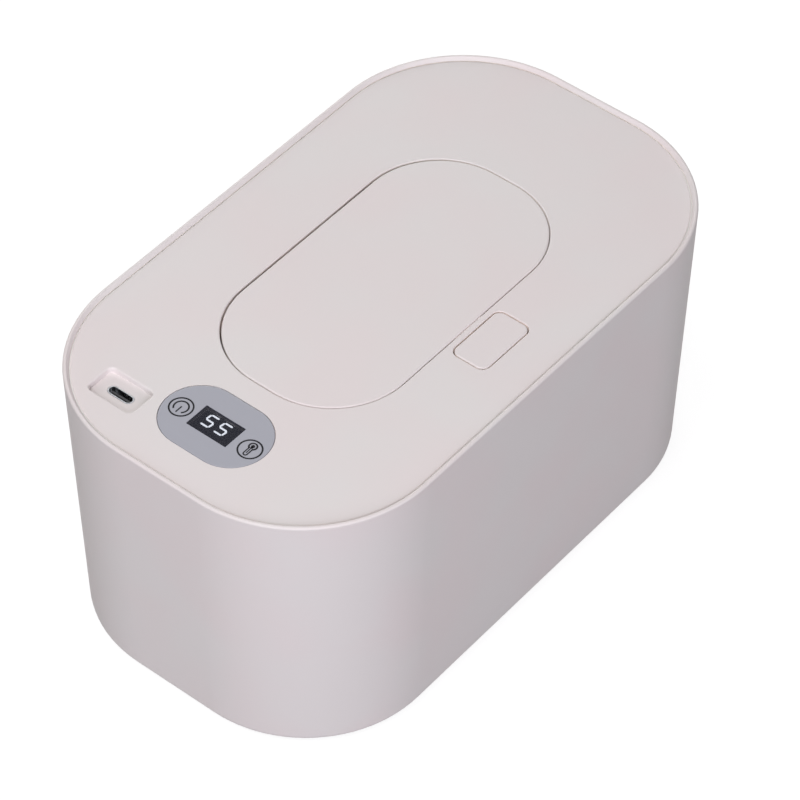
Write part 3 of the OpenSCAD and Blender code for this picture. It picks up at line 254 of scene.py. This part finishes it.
def close_up():
    """Merges doubles and turns the faces outwards, then leaves edit mode."""
    edit_all()
    bpy.ops.mesh.remove_doubles(threshold=1e-7)
    bpy.ops.mesh.normals_make_consistent(inside=False)
    bpy.ops.object.mode_set(mode="OBJECT")


def drawn_up(name, steps, at=(0, 0), capped=False, sides=96):
    """A piece drawn up loop by loop from a circle, by (radius, height, (half length, half width)) steps. Each
    quarter of a loop moves out by the last two, which makes it a rounded rectangle."""
    select_only(None)
    start_r, start_z, _ = steps[0]
    fill_type, half_side = "NGON" if capped else "NOTHING", math.pi / sides
    bpy.ops.mesh.primitive_circle_add(vertices=sides, radius=start_r, fill_type=fill_type,
                                      location=(0, 0, start_z), rotation=(0, 0, half_side))
    obj = settle(bpy.context.object, name)
    edit_all()
    extrude = bpy.ops.mesh.extrude_region_move if capped else bpy.ops.mesh.extrude_edges_move
    for (ra, za, _), (rb, zb, _) in zip(steps, steps[1:]):
        extrude(TRANSFORM_OT_translate={"value": (0, 0, zb - za)})
        bpy.ops.transform.resize(value=(rb / ra, rb / ra, 1), center_override=(0, 0, zb))
    bpy.ops.object.mode_set(mode="OBJECT")
    for sx in (-1, 1):
        for sy in (-1, 1):
            for half in {step[2] for step in steps}:
                pick(obj.data, "vertices", lambda v: (
                    steps[v.index // sides][2] == half and v.co.x * sx > 0 and v.co.y * sy > 0))
                bpy.ops.object.mode_set(mode="EDIT")
                bpy.ops.transform.translate(value=(sx * half[0], sy * half[1], 0))
                bpy.ops.object.mode_set(mode="OBJECT")
    close_up()
    obj.location = (at[0], at[1], 0)
    return settle(obj, name)


def smooth(obj, angle=35):
    """Smooth shading over edges that turn by less than the angle."""
    select_only(obj)
    bpy.ops.object.shade_smooth_by_angle(angle=math.radians(angle))
    return obj


def put_on(obj, material, body, slot, *stands_for):
    """The piece's material and body, and the CAD nodes that it stands for, which are hidden. The slot is not
    used.
    """
    obj.data.materials.clear()
    obj.data.materials.append(material)
    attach(obj, body)
    if stands_for:
        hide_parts(*stands_for)
    return obj


# Cells of the foam, cut open by the knife: rounded pits of uneven size, with painted shade that makes them
# darker inside
foam_cells, given, made = new_group("foam cells", [
    ("Colour", "Color", (0.4, 0.4, 0.4, 1)), ("Painted pit shade", "Color", (0.2, 0.2, 0.2, 1)),
    ("Cells", "Float", 1400.0)])
where = add(foam_cells, "TexCoord")["Object"]
cells = add(foam_cells, "TexVoronoi", {"Vector": where, "Scale": given["Cells"]})["Distance"]
pits = ramp(foam_cells, cells, start=0.1, end=0.6)
# Painted shade: the pits are darker where their bump sinks deepest
tint = blended(foam_cells, pits, given["Painted pit shade"], given["Colour"])
dull = sloped(foam_cells, pits, slope=-0.15, start=0.95)
give_out(foam_cells, made, tint, dull, pits)
foam_colours = {"Colour": srgb(176, 178, 182), "Painted pit shade": srgb(140, 142, 147)}
foam = shaded("closed-cell foam", foam_cells, foam_colours, depth=1.2e-4)

low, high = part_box("floor_insulation")
pad_r, inset, eased = high.x - corner[0], 0.02, 0.0005
floor_pad = smooth(drawn_up("foam_floor_pad", [
    (pad_r - eased, low.z, corner), (pad_r, low.z + eased, corner), (pad_r, high.z - eased, corner),
    (pad_r - eased, high.z, corner), (pad_r - inset, high.z, corner)], capped=True))
put_on(floor_pad, foam, "base", "foam", "floor_insulation")


def radii(name, z, half):
    """The inner and outer radius of a CAD node's rounded corners at one height."""
    found = [math.hypot(v.co.x - half[0], max(abs(v.co.y) - half[1], 0)) for v in nodes[name].data.vertices
             if abs(v.co.z - z) < 1e-5 and v.co.x > half[0]]
    return min(found), max(found)


low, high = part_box("insulation_sleeve")
bin_low_r, sleeve_r = radii("insulation_sleeve", low.z, corner)
bin_high_r, _ = radii("insulation_sleeve", high.z, corner)
sleeve = smooth(drawn_up("foam_sleeve", [
    (bin_low_r + eased, low.z, corner), (sleeve_r - eased, low.z, corner), (sleeve_r, low.z + eased, corner),
    (sleeve_r, high.z - eased, corner), (sleeve_r - eased, high.z, corner),
    (bin_high_r + eased, high.z, corner), (bin_high_r, high.z - eased, corner),
    (bin_low_r, low.z + eased, corner), (bin_low_r + eased, low.z, corner)]))
put_on(sleeve, foam, "base", "foam", "insulation_sleeve")

# ---- Inner bin ----
# The bin that holds the wipes is a thin polypropylene moulding, smooth so that it wipes clean, and it
# hangs on the casing's ribs by its flange.
bin_plastic = moulded("bin plastic", srgb(240, 239, 236), roughness=0.32, depth=4e-6, finish={"Tone": 0.02},
                      plain={"Coat Weight": 0.15, "Coat Roughness": 0.25})
dress(bin_plastic, "inner_bin")

# ---- Lid's top cover ----
# The lid's top is moulded in the same ABS as the casing, with the flap's well, the button's pocket and
# the port's recess in it. Its seams' upright walls get the same painted seam light, so the seams in it look
# warm.
seams_from_x = -0.068  # the port's recess lies behind this place, and keeps the plain colour
lid_plastic = casing_abs("lid plastic", reach=shell_reach, seams_from=seams_from_x)
dress(lid_plastic, "lid_top_cover")

# ---- Charging port ----
# The charging socket stands on its own small board under the recess: a drawn steel shell round a black
# resin tongue that holds the contacts. Two insulated leads run from it to the main board.

# Metal drawn or rolled along one direction, with fine lines in its gloss and height
drawn_metal, given, made = new_group("drawn metal", [
    ("Colour", "Color", (0.7, 0.7, 0.7, 1)), ("Roughness", "Float", 0.3),
    ("Lines across", "Vector", (60.0, 2500.0, 2500.0))])
where = add(drawn_metal, "TexCoord")["Object"]
along = vector_calc(drawn_metal, "MULTIPLY", where, given["Lines across"])
lines = noise(drawn_metal, along, scale=1.0, detail=3.0)
worn = noise(drawn_metal, where, scale=120.0, detail=2.0)
swing = calc(drawn_metal, "SUBTRACT", calc(drawn_metal, "ADD", lines, worn), 1.0)
gloss = sloped(drawn_metal, swing, slope=0.3, start=given["Roughness"])
tone = sloped(drawn_metal, swing, slope=0.25, start=1.0)
give_out(drawn_metal, made, scaled(drawn_metal, given["Colour"], tone), gloss, lines)


def metal(name, colour, roughness, across=(60.0, 2500.0, 2500.0)):
    """A metal, with its fine lines along the axis that has the lowest number."""
    settings = {"Colour": colour, "Roughness": roughness, "Lines across": across}
    return shaded(name, drawn_metal, settings, depth=2e-6, plain={"Metallic": 1.0})


bright_steel = metal("bright steel", srgb(200, 202, 206), roughness=0.28)
black_resin = moulded("black resin", srgb(38, 38, 41), roughness=0.45, depth=1.5e-5, finish={"Grain": 4000.0})
lead_cover = moulded("lead insulation", srgb(178, 34, 30), roughness=0.35, depth=3e-6, finish={"Tone": 0.05})

# A printed board: green lacquer over copper tracks, with the tracks showing as raised, lighter lines
track_lines, given, made = new_group("board tracks", [
    ("Colour", "Color", (0.0, 0.1, 0.05, 1)), ("Track colour", "Color", (0.0, 0.2, 0.1, 1)),
    ("Pitch", "Float", 700.0)])
black, white = (0, 0, 0, 1), (1, 1, 1, 1)
tracks = add(track_lines, "TexBrick", {
    "Vector": add(track_lines, "TexCoord")["Object"], "Scale": given["Pitch"], "Color1": black,
    "Color2": black, "Mortar": white, "Mortar Size": 0.08, "Brick Width": 3.4, "Row Height": 0.9})["Fac"]
tint = blended(track_lines, tracks, given["Colour"], given["Track colour"])
gloss = sloped(track_lines, tracks, slope=-0.1, start=0.38)
give_out(track_lines, made, tint, gloss, tracks)
board_colours = {"Colour": srgb(22, 92, 56), "Track colour": srgb(48, 128, 78)}
board = shaded("circuit board", track_lines, board_colours, depth=3e-5,
               plain={"Coat Weight": 0.4, "Coat Roughness": 0.15})

dress(board, "usb_board", "main_board")
dress(bright_steel, "usb_socket_shell")
dress(black_resin, "usb_socket_tongue")
dress(lead_cover, "usb_leads")

# ---- Main board ----
# The board hangs from the lid's posts by its screws, with the chip, the sounder, the capacitors and the
# power transistor soldered to its underside.
dress(black_resin, "controller_chip", "buzzer")
dress(bright_steel, "board_components", "board_screws")

# ---- Display and touch keys ----
# A black housing holds seven bars of light for each of two digits, and looks up through the lid. Beside
# it two small springs carry the touch keys from the board to the underside of the panel.
display_black = moulded("display black", srgb(30, 30, 33), roughness=0.6, depth=2e-6,
                        plain={"Specular IOR Level": 0.2})
dress(display_black, "display_module")
dress(bright_steel, "touch_springs")

low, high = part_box("display_segments")
bars_z, bar_t = low.z, high.z - low.z
# The bars lie 1.3 mm under the window. This much to the side, they show in its middle from the camera
shown_in_window = Vector((0.00096, 0.00078, 0))
centre = (low + high) / 2 + shown_in_window
digit_l, digit_w, digit_pitch, lean = high.x - low.x + 0.0002, 0.0034, 0.0049, 0.14
stroke, bar_gap = 0.00051, 0.00022
bar_point = stroke * 0.45


def light_bars(name, bars):
    """Bars with pointed ends, as (digit, row or half, side), joined into one piece."""
    pieces = []
    reach, side_y = (digit_l - stroke) / 2, (digit_w - stroke) / 2
    lean_over = Matrix(((1, 0, 0, 0), (-lean, 1, 0, 0), (0, 0, 1, 0), (0, 0, 0, 1)))
    for digit, up, side in bars:
        select_only(None)
        if side is None:
            size, x, y = (stroke, digit_w - stroke - bar_gap, bar_t), up * reach, 0
        else:
            size, x, y = (reach - bar_gap, stroke, bar_t), up * reach / 2, side * side_y
        bpy.ops.mesh.primitive_cube_add(size=1, location=(x, y, bars_z + bar_t / 2), scale=size)
        bar = settle(bpy.context.object, name)
        heights = [v.co.z for v in bar.data.vertices]
        pick(bar.data, "edges", lambda e: abs(heights[e.vertices[0]] - heights[e.vertices[1]]) > bar_t / 2)
        bpy.ops.object.mode_set(mode="EDIT")
        bpy.ops.mesh.bevel(offset=bar_point, segments=1, affect="EDGES")
        bpy.ops.object.mode_set(mode="OBJECT")
        bar.data.transform(lean_over)
        bar.location = (centre.x, centre.y + digit * digit_pitch / 2, 0)
        pieces.append(settle(bar, name))
    select_only(pieces[0])
    for bar in pieces:
        bar.select_set(True)
    bpy.ops.object.join()
    return settle(pieces[0], name)


bar_light = moulded("lit bar", srgb(245, 247, 250), roughness=0.5, finish={"Tone": 0.02},
                    plain={"Emission Color": srgb(240, 245, 255), "Emission Strength": 5.0})
bar_dark = moulded("unlit bar", srgb(60, 62, 66), roughness=0.5, finish={"Tone": 0.02})
lit = [(-1, None), (0, None), (1, None), (-1, -1), (1, 1)]
unlit = [(-1, 1), (1, -1)]
lit_bars = light_bars("display_bars_lit", [(digit, *bar) for digit in (-1, 1) for bar in lit])
unlit_bars = light_bars("display_bars_unlit", [(digit, *bar) for digit in (-1, 1) for bar in unlit])
put_on(lit_bars, bar_light, "lid", "display_light", "display_segments")
put_on(unlit_bars, bar_dark, "lid", "display_light")

# ---- Control panel ----
# The panel is a grey satin overlay, laid flush in a shallow seat, with the signs of its two touch keys
# printed on it in dark ink and a window of smoked acrylic let into its middle.
panel_grey = srgb(167, 168, 178)
panel_film = moulded("panel overlay", panel_grey, roughness=0.36, depth=5e-6, finish={"Tone": 0.02})
dress(panel_film, "control_panel")

smoked = moulded("smoked acrylic", srgb(46, 47, 58), roughness=0.12, depth=1e-7,
                 finish={"Tone": 0.01, "Roughness spread": 0.02},
                 plain={"Alpha": 0.6, "Specular IOR Level": 0.2})
smoked.surface_render_method = "BLENDED"
dress(smoked, "display_window")

ink = moulded("printed ink", srgb(10, 10, 18), roughness=0.5, depth=2e-6, finish={"Grain": 5000.0},
              plain={"Specular IOR Level": 0.2})
printed_grey = moulded("printed grey", panel_grey, roughness=0.4, depth=5e-6, finish={"Tone": 0.02})
low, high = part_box("control_panel")
panel_z, middle = high.z, (low + high) / 2
ink_t, line = 0.00002, 0.00053


def ring_line(name, radius, at):
    """A printed line round a circle."""
    inner, outer, half = radius - line / 2, radius + line / 2, (0, 0)
    outline = [(inner, 0), (outer, 0), (outer, ink_t), (inner, ink_t), (inner, 0)]
    return drawn_up(name, [(r, panel_z + rise, half) for r, rise in outline], at)


def spot(name, radius, at, half=(0, 0), layer=0):
    """A printed dot, or a bar with round ends, on the panel or on a lower layer of print."""
    z = panel_z + layer * ink_t
    return drawn_up(name, [(radius, z, half), (radius, z + ink_t, half)], at, capped=True, sides=48)


def arc_line(name, radius, at, start, turn):
    """A printed arc: the end face of the line, spun about the middle."""
    select_only(None)
    bpy.ops.mesh.primitive_plane_add(size=1, location=(radius, 0, panel_z + ink_t / 2),
                                     rotation=(math.pi / 2, 0, 0))
    bpy.context.object.scale = (line, ink_t, 1)
    obj = settle(bpy.context.object, name)
    obj.data.transform(Matrix.Rotation(start, 4, "Z"))
    edit_all()
    bpy.ops.mesh.spin(steps=48, angle=turn, center=(0, 0, 0), axis=(0, 0, 1))
    close_up()
    obj.location = (at[0], at[1], 0)
    return settle(obj, name)


key_r, key_y, key_shift = 0.0035, 0.01269, (-0.00065, -0.00037)
key_x = middle.x + key_shift[0]
power_y, heat_y = (middle.y + key_shift[1] + side * key_y for side in (1, -1))
power_at, heat_at = (key_x, power_y), (key_x, heat_y)
arc_r, arc_gap = 0.0022, math.radians(39)
power_bar_at, power_bar_half = (key_x - 0.00105, power_y), (0.00115, 0)
stem_at, bulb_at, level_at = ((key_x + off, heat_y) for off in (-0.00053, 0.00132, -0.00015))
stem_half, level_half = (0.00142, 0), (0.00145, 0)
stem_r, stem_inside_r, bulb_r, bulb_inside_r = 0.00082, 0.0004, 0.00147, 0.00092
power_bar_r, level_r, dot_r = 0.00022, 0.00016, 0.0006
for sign, paint in (
    (ring_line("power_key_ring", key_r, power_at), ink),
    (arc_line("power_sign_arc", arc_r, power_at, math.pi - arc_gap, 2 * math.pi - 2 * arc_gap), ink),
    (spot("power_sign_bar", power_bar_r, power_bar_at, power_bar_half), ink),
    (ring_line("heat_key_ring", key_r, heat_at), ink),
    (spot("heat_sign_stem", stem_r, stem_at, stem_half), ink),
    (spot("heat_sign_bulb", bulb_r, bulb_at), ink),
    (spot("heat_sign_stem_inside", stem_inside_r, stem_at, stem_half, layer=1), printed_grey),
    (spot("heat_sign_bulb_inside", bulb_inside_r, bulb_at, layer=1), printed_grey),
    (spot("heat_sign_level", level_r, level_at, level_half, layer=2), ink),
    (spot("heat_sign_dot", dot_r, bulb_at, layer=2), ink),
):
    put_on(sign, paint, "lid", "panel_plastic")

# ---- Hinge and button springs ----
# Two steel pins pass through the flap's arms, with a torsion spring on each. Two light coil springs of
# 0.4 mm wire stand on pegs in the button's pocket and carry the button. A real spring shortens as the button
# is pressed; these keep their rest length.
pin_steel = metal("ground pin steel", srgb(190, 192, 196), roughness=0.2, across=(2500.0, 60.0, 60.0))
spring_wire = metal("spring wire", srgb(176, 178, 184), roughness=0.3)
dress(pin_steel, "hinge_pins")
dress(spring_wire, "hinge_spring")

low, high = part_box("latch_springs")
wire_r, coil_turns, turn_steps = 0.0002, 6, 28
closed_turns, closed_rise = 0.75, 2.2 * wire_r  # both ends of a spring are wound nearly flat
spring_y, coil_r = (low.y + high.y) / 2, (high.y - low.y) / 2 - wire_r
coil_x = high.x - wire_r - coil_r
foot, top = low.z + wire_r, high.z - wire_r
coils = []
for side in (-1, 1):
    curve = bpy.data.curves.new("button_spring", "CURVE")
    curve.dimensions = "3D"
    curve.bevel_depth, curve.bevel_resolution, curve.use_fill_caps = wire_r, 3, True
    path = curve.splines.new("POLY")
    count = coil_turns * turn_steps
    path.points.add(count)
    for i in range(count + 1):
        turn = i / count * coil_turns
        open_share = min(max((turn - closed_turns) / (coil_turns - 2 * closed_turns), 0), 1)
        closed_part = min(turn, closed_turns) + max(turn - coil_turns + closed_turns, 0)
        closed_share = closed_part / (2 * closed_turns)
        height = foot + closed_rise * closed_share + open_share * (top - foot - closed_rise)
        angle = 2 * math.pi * turn
        x, y = side * coil_x + coil_r * math.cos(angle), spring_y + coil_r * math.sin(angle)
        path.points[i].co = (x, y, height, 1)
    coil = bpy.data.objects.new("button_spring", curve)
    bpy.context.collection.objects.link(coil)
    select_only(coil)
    bpy.ops.object.convert(target="MESH")
    coils.append(bpy.context.object)
select_only(coils[0])
coils[1].select_set(True)
bpy.ops.object.join()
springs = smooth(settle(coils[0], "button_springs"), 50)
put_on(springs, spring_wire, "lid", "steel", "latch_springs")
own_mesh(springs)

# ---- Inner cover ----
# The lid's underside is a polypropylene tray, held to the top cover by six countersunk screws. It
# carries the heater, and its chimney lines up with the opening that the wipes come through.
dress(bin_plastic, "lid_inner_cover")
dress(bright_steel, "lid_screws")

# ---- Heater ----
# A brushed aluminium plate faces the wipes. An amber heating film is stuck to its back, with felt over
# the film to send the heat down, and the sensor and cut-out sit on the plate with their leads.
plate_metal = metal("brushed aluminium", srgb(206, 208, 211), roughness=0.38, across=(40.0, 1800.0, 1800.0))
dress(plate_metal, "heating_plate")
dress(bright_steel, "plate_screws", "thermistor")
dress(black_resin, "thermal_cutoff")
dress(lead_cover, "sensor_leads", "heater_leads")

# Etched tracks of the heating film, laid to and fro between two layers of amber film
etched, given, made = new_group("etched tracks", [
    ("Colour", "Color", (0.5, 0.2, 0.02, 1)), ("Track colour", "Color", (0.3, 0.15, 0.08, 1)),
    ("Pitch", "Float", 60.0)])
where = add(etched, "TexCoord")["Object"]
waves = add(etched, "TexWave", {"Vector": where, "Scale": given["Pitch"], "Distortion": 0.0},
            bands_direction="Y")
track = ramp(etched, waves["Fac"], start=0.55, end=0.62)
tint = blended(etched, track, given["Colour"], given["Track colour"])
gloss = sloped(etched, track, slope=0.15, start=0.25)
give_out(etched, made, tint, gloss, track)
film_colours = {"Colour": srgb(196, 128, 48), "Track colour": srgb(140, 104, 78)}
heat_film = shaded("amber film", etched, film_colours, depth=2e-5,
                   plain={"Coat Weight": 0.5, "Coat Roughness": 0.1})
dress(heat_film, "heater_film")

# Needled felt: crossed fibres, light and uneven
fibres, given, made = new_group("needled fibres", [
    ("Colour", "Color", (0.8, 0.8, 0.75, 1)), ("Fibres", "Float", 1500.0)])
where = add(fibres, "TexCoord")["Object"]
strands = noise(fibres, where, given["Fibres"], detail=4.0, distortion=2.5)
tone = ramp(fibres, strands, start=0.3, end=0.7, low=0.8, high=1.05)
dull = sloped(fibres, strands, slope=-0.1, start=1.0)
give_out(fibres, made, scaled(fibres, given["Colour"], tone), dull, strands)
felt = shaded("needled felt", fibres, {"Colour": srgb(232, 228, 216)}, depth=2e-4,
              plain={"Sheen Weight": 0.4})

low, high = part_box("heater_felt")
felt_half, throat_half, soft = (0.048, 0.011), (0.033, 0.0), 0.0003
felt_r, hole_r = high.x - felt_half[0], 0.016
felt_pad = smooth(drawn_up("felt_pad", [
    (hole_r, low.z, throat_half), (felt_r - soft, low.z, felt_half), (felt_r, low.z + soft, felt_half),
    (felt_r, high.z - soft, felt_half), (felt_r - soft, high.z, felt_half), (hole_r, high.z, throat_half),
    (hole_r, low.z, throat_half)]))
put_on(felt_pad, felt, "lid", "felt", "heater_felt")

# ---- Soft insert and seals ----
# The insert in the opening, the lid's seal and the flap's seal are moulded in white silicone, which is
# soft and slightly translucent. Each seal is a flat band with a round bead that is pressed shut.
silicone = moulded("white silicone", srgb(232, 234, 232), roughness=0.5, depth=8e-6, finish={"Tone": 0.02},
                   plain={"Subsurface Weight": 0.25, "Subsurface Radius": (0.004, 0.004, 0.004)})
band_t = 0.0009  # the thickness of both seals' bands


def seal(name, cad, half, bead_r):
    """A flat band with soft edges and a round bead under it, in the space of its CAD node."""
    low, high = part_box(cad)
    (inner, outer), soft, under = radii(cad, high.z, half), 0.0002, high.z - band_t
    bead_at, bead_z = (inner + outer) / 2, low.z + bead_r
    round_under = [math.radians(degrees) for degrees in range(340, 199, -10)]
    bead = [(bead_at + bead_r * math.cos(a), bead_z + bead_r * math.sin(a)) for a in round_under]
    profile = [
        (outer - soft, high.z), (outer, high.z - soft), (outer, under + soft), (outer - soft, under), *bead,
        (inner + soft, under), (inner, under + soft), (inner, high.z - soft), (inner + soft, high.z),
        (outer - soft, high.z)]
    return smooth(drawn_up(name, [(r, z, half) for r, z in profile]), 50)


lid_seal = seal("lid_seal", "lid_gasket", corner, bead_r=0.00075)
flap_seal = seal("flap_seal", "flap_gasket", throat_half, bead_r=0.0007)
put_on(lid_seal, silicone, "lid", "silicone", "lid_gasket")
put_on(flap_seal, silicone, "flap", "silicone", "flap_gasket")

# The insert: a flange that is held all round, a sloped funnel, the slit, and a neck under the flange
low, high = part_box("dispensing_insert")
flange_in, flange_out = radii("dispensing_insert", high.z, throat_half)
slit_in, slit_out = radii("dispensing_insert", low.z, throat_half)
well_z, slit_z, lip_z, soft = high.z - 0.0012, low.z + 0.001, low.z + 0.00105, 0.00025
under_r, under_z, lip_foot_z = flange_in - 0.0016, low.z + 0.0008, low.z + 0.00026
neck_r, lip_r = radii("dispensing_insert", lip_z, throat_half)
flange = [(flange_out, well_z), (flange_out, high.z - soft), (flange_out - soft, high.z),
          (flange_in + soft, high.z), (flange_in - soft, high.z - 0.43 * soft)]
funnel = [(slit_in + 1.6 * soft, slit_z + 1.6 * soft), (slit_in + 0.6 * soft, slit_z + soft)]
slit = [(slit_in, slit_z), (slit_in, low.z + soft), (slit_in + soft, low.z),
        (slit_out - soft, low.z), (slit_out, low.z + soft), (slit_out, low.z + 2 * soft)]
lip = [(under_r, under_z), (lip_r - soft, lip_foot_z), (lip_r, low.z + 2 * soft), (lip_r, lip_z)]
neck = [(neck_r, lip_z), (neck_r, well_z), (flange_out, well_z)]
profile = flange + funnel + slit + lip + neck
insert = smooth(drawn_up("silicone_insert", [(r, z, throat_half) for r, z in profile]))
put_on(insert, silicone, "lid", "silicone", "dispensing_insert")

# A thin lip of the same silicone closes the seam round the lid's edge, just under the surface
edge_r, lip_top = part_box("lid_top_cover")[1].x - corner[0], 0.0946
seam_in, seam_out, seam_h, bevel = -0.0001, 0.00026, 0.0008, 0.0001
profile = [(seam_out - bevel, 0), (seam_out, -bevel), (seam_out, -seam_h), (seam_in, -seam_h), (seam_in, 0),
           (seam_out - bevel, 0)]
seam_lip = smooth(drawn_up("lid_seam_lip", [(edge_r + out, lip_top + up, corner) for out, up in profile]))
put_on(seam_lip, silicone, "lid", "silicone")

# ---- Flap ----
# The flap is moulded in the casing's ABS. Two arms behind it hook round the edge of the opening to the
# hinge pins, and a springy catch in front hangs behind the button.
# The upright walls of the flap's and the button's seams get painted seam light too
flap_plastic = casing_abs("flap plastic")
dress(flap_plastic, "flap_cover")

# ---- Button ----
# The push button is a small cap of the same plastic, with soft edges. It drops into its pocket onto the
# two coil springs, and its wedge frees the flap's catch.
dress(flap_plastic, "latch_button")

# ---- Floor, light and camera ----
# The object stands on a plain white floor in soft studio light from the upper left, and the camera has
# the photograph's angle, distance and framing.
floor_grey, floor_glow, fill_strength = (0.2, 0.2, 0.2, 1), 0.87, 0.14


def seen_directly(tree):
    """1 for rays from the camera or by way of gloss or glass, which meet a white background, and else 0."""
    ray = add(tree, "LightPath")
    seen = calc(tree, "MAXIMUM", ray["Is Camera Ray"], ray["Is Glossy Ray"])
    return calc(tree, "MAXIMUM", seen, ray["Is Transmission Ray"])


select_only(None)
bpy.ops.mesh.primitive_plane_add(size=6, location=(0, 0, 0))
floor = settle(bpy.context.object, "studio_floor")
paper = bpy.data.materials.new("white paper")
paper.use_nodes = True
tree = paper.node_tree
paper_shader = tree.nodes["Principled BSDF"].inputs
paper_shader["Base Color"].default_value = floor_grey
paper_shader["Roughness"].default_value = 0.9
paper_shader["Emission Color"].default_value = white
tree.links.new(calc(tree, "MULTIPLY", seen_directly(tree), floor_glow), paper_shader["Emission Strength"])
floor.data.materials.append(paper)

world = bpy.data.worlds.new("studio")
bpy.context.scene.world = world
world.use_nodes = True
tree = world.node_tree
fill = tree.nodes["Background"]
fill.inputs["Color"].default_value = white
fill.inputs["Strength"].default_value = fill_strength
backdrop = add(tree, "Background", {"Color": white, "Strength": 1.0})
choose = add(tree, "MixShader", {"Fac": seen_directly(tree), 1: fill.outputs[0], 2: backdrop[0]})
tree.links.new(choose[0], tree.nodes["World Output"].inputs["Surface"])

aim = Vector((0, 0, 0.05))  # the middle of the object


def lamp(name, place, size, power, colour):
    """A square soft lamp, in metres and watts, that faces the object."""
    light = bpy.data.lights.new(name, "AREA")
    light.shape, light.size, light.energy, light.color = "SQUARE", size, power, colour
    obj = bpy.data.objects.new(name, light)
    bpy.context.collection.objects.link(obj)
    obj.location = place
    obj.rotation_euler = (aim - Vector(place)).to_track_quat("-Z", "Y").to_euler()


lamp("softbox_left", (-0.915, -0.885, 0.59), size=0.7, power=11.75, colour=(0.955, 0.933, 1.0))
lamp("softbox_top", (-0.5, 0.1, 1.4), size=0.9, power=9.65, colour=(1.0, 0.99, 0.966))
lamp("softbox_behind", (0.86, 1.02, 0.43), size=0.9, power=8.0, colour=(1.0, 1.0, 1.0))

# The camera's place comes from a fit to the outline of the casing in the photograph
azimuth, elevation, roll = (math.radians(a) for a in (-50.863, 46.457, 0.266))
distance, shift_x, shift_y, foot_h = 1.180416, -0.004052, 0.030092, 0.001
lens_px, picture_px, sensor_mm = 3860.792, 800, 36.0
level_back = Vector((math.sin(azimuth), -math.cos(azimuth), 0))
right = Vector((math.cos(azimuth), math.sin(azimuth), 0))
back = level_back * math.cos(elevation) + Vector((0, 0, math.sin(elevation)))
up = back.cross(right)
x_axis = math.cos(roll) * right + math.sin(roll) * up
y_axis = -math.sin(roll) * right + math.cos(roll) * up
eye = back * distance - x_axis * shift_x + y_axis * shift_y + Vector((0, 0, foot_h))
view = bpy.data.cameras.new("photo_camera")
view.sensor_width, view.lens = sensor_mm, lens_px / picture_px * sensor_mm
view.clip_start, view.clip_end = 0.05, 20
camera = bpy.data.objects.new("photo_camera", view)
bpy.context.collection.objects.link(camera)
camera.matrix_world = Matrix((
    (x_axis.x, y_axis.x, back.x, eye.x), (x_axis.y, y_axis.y, back.y, eye.y),
    (x_axis.z, y_axis.z, back.z, eye.z), (0, 0, 0, 1)))
bpy.context.scene.camera = camera
bpy.context.scene.view_settings.view_transform = "Standard"
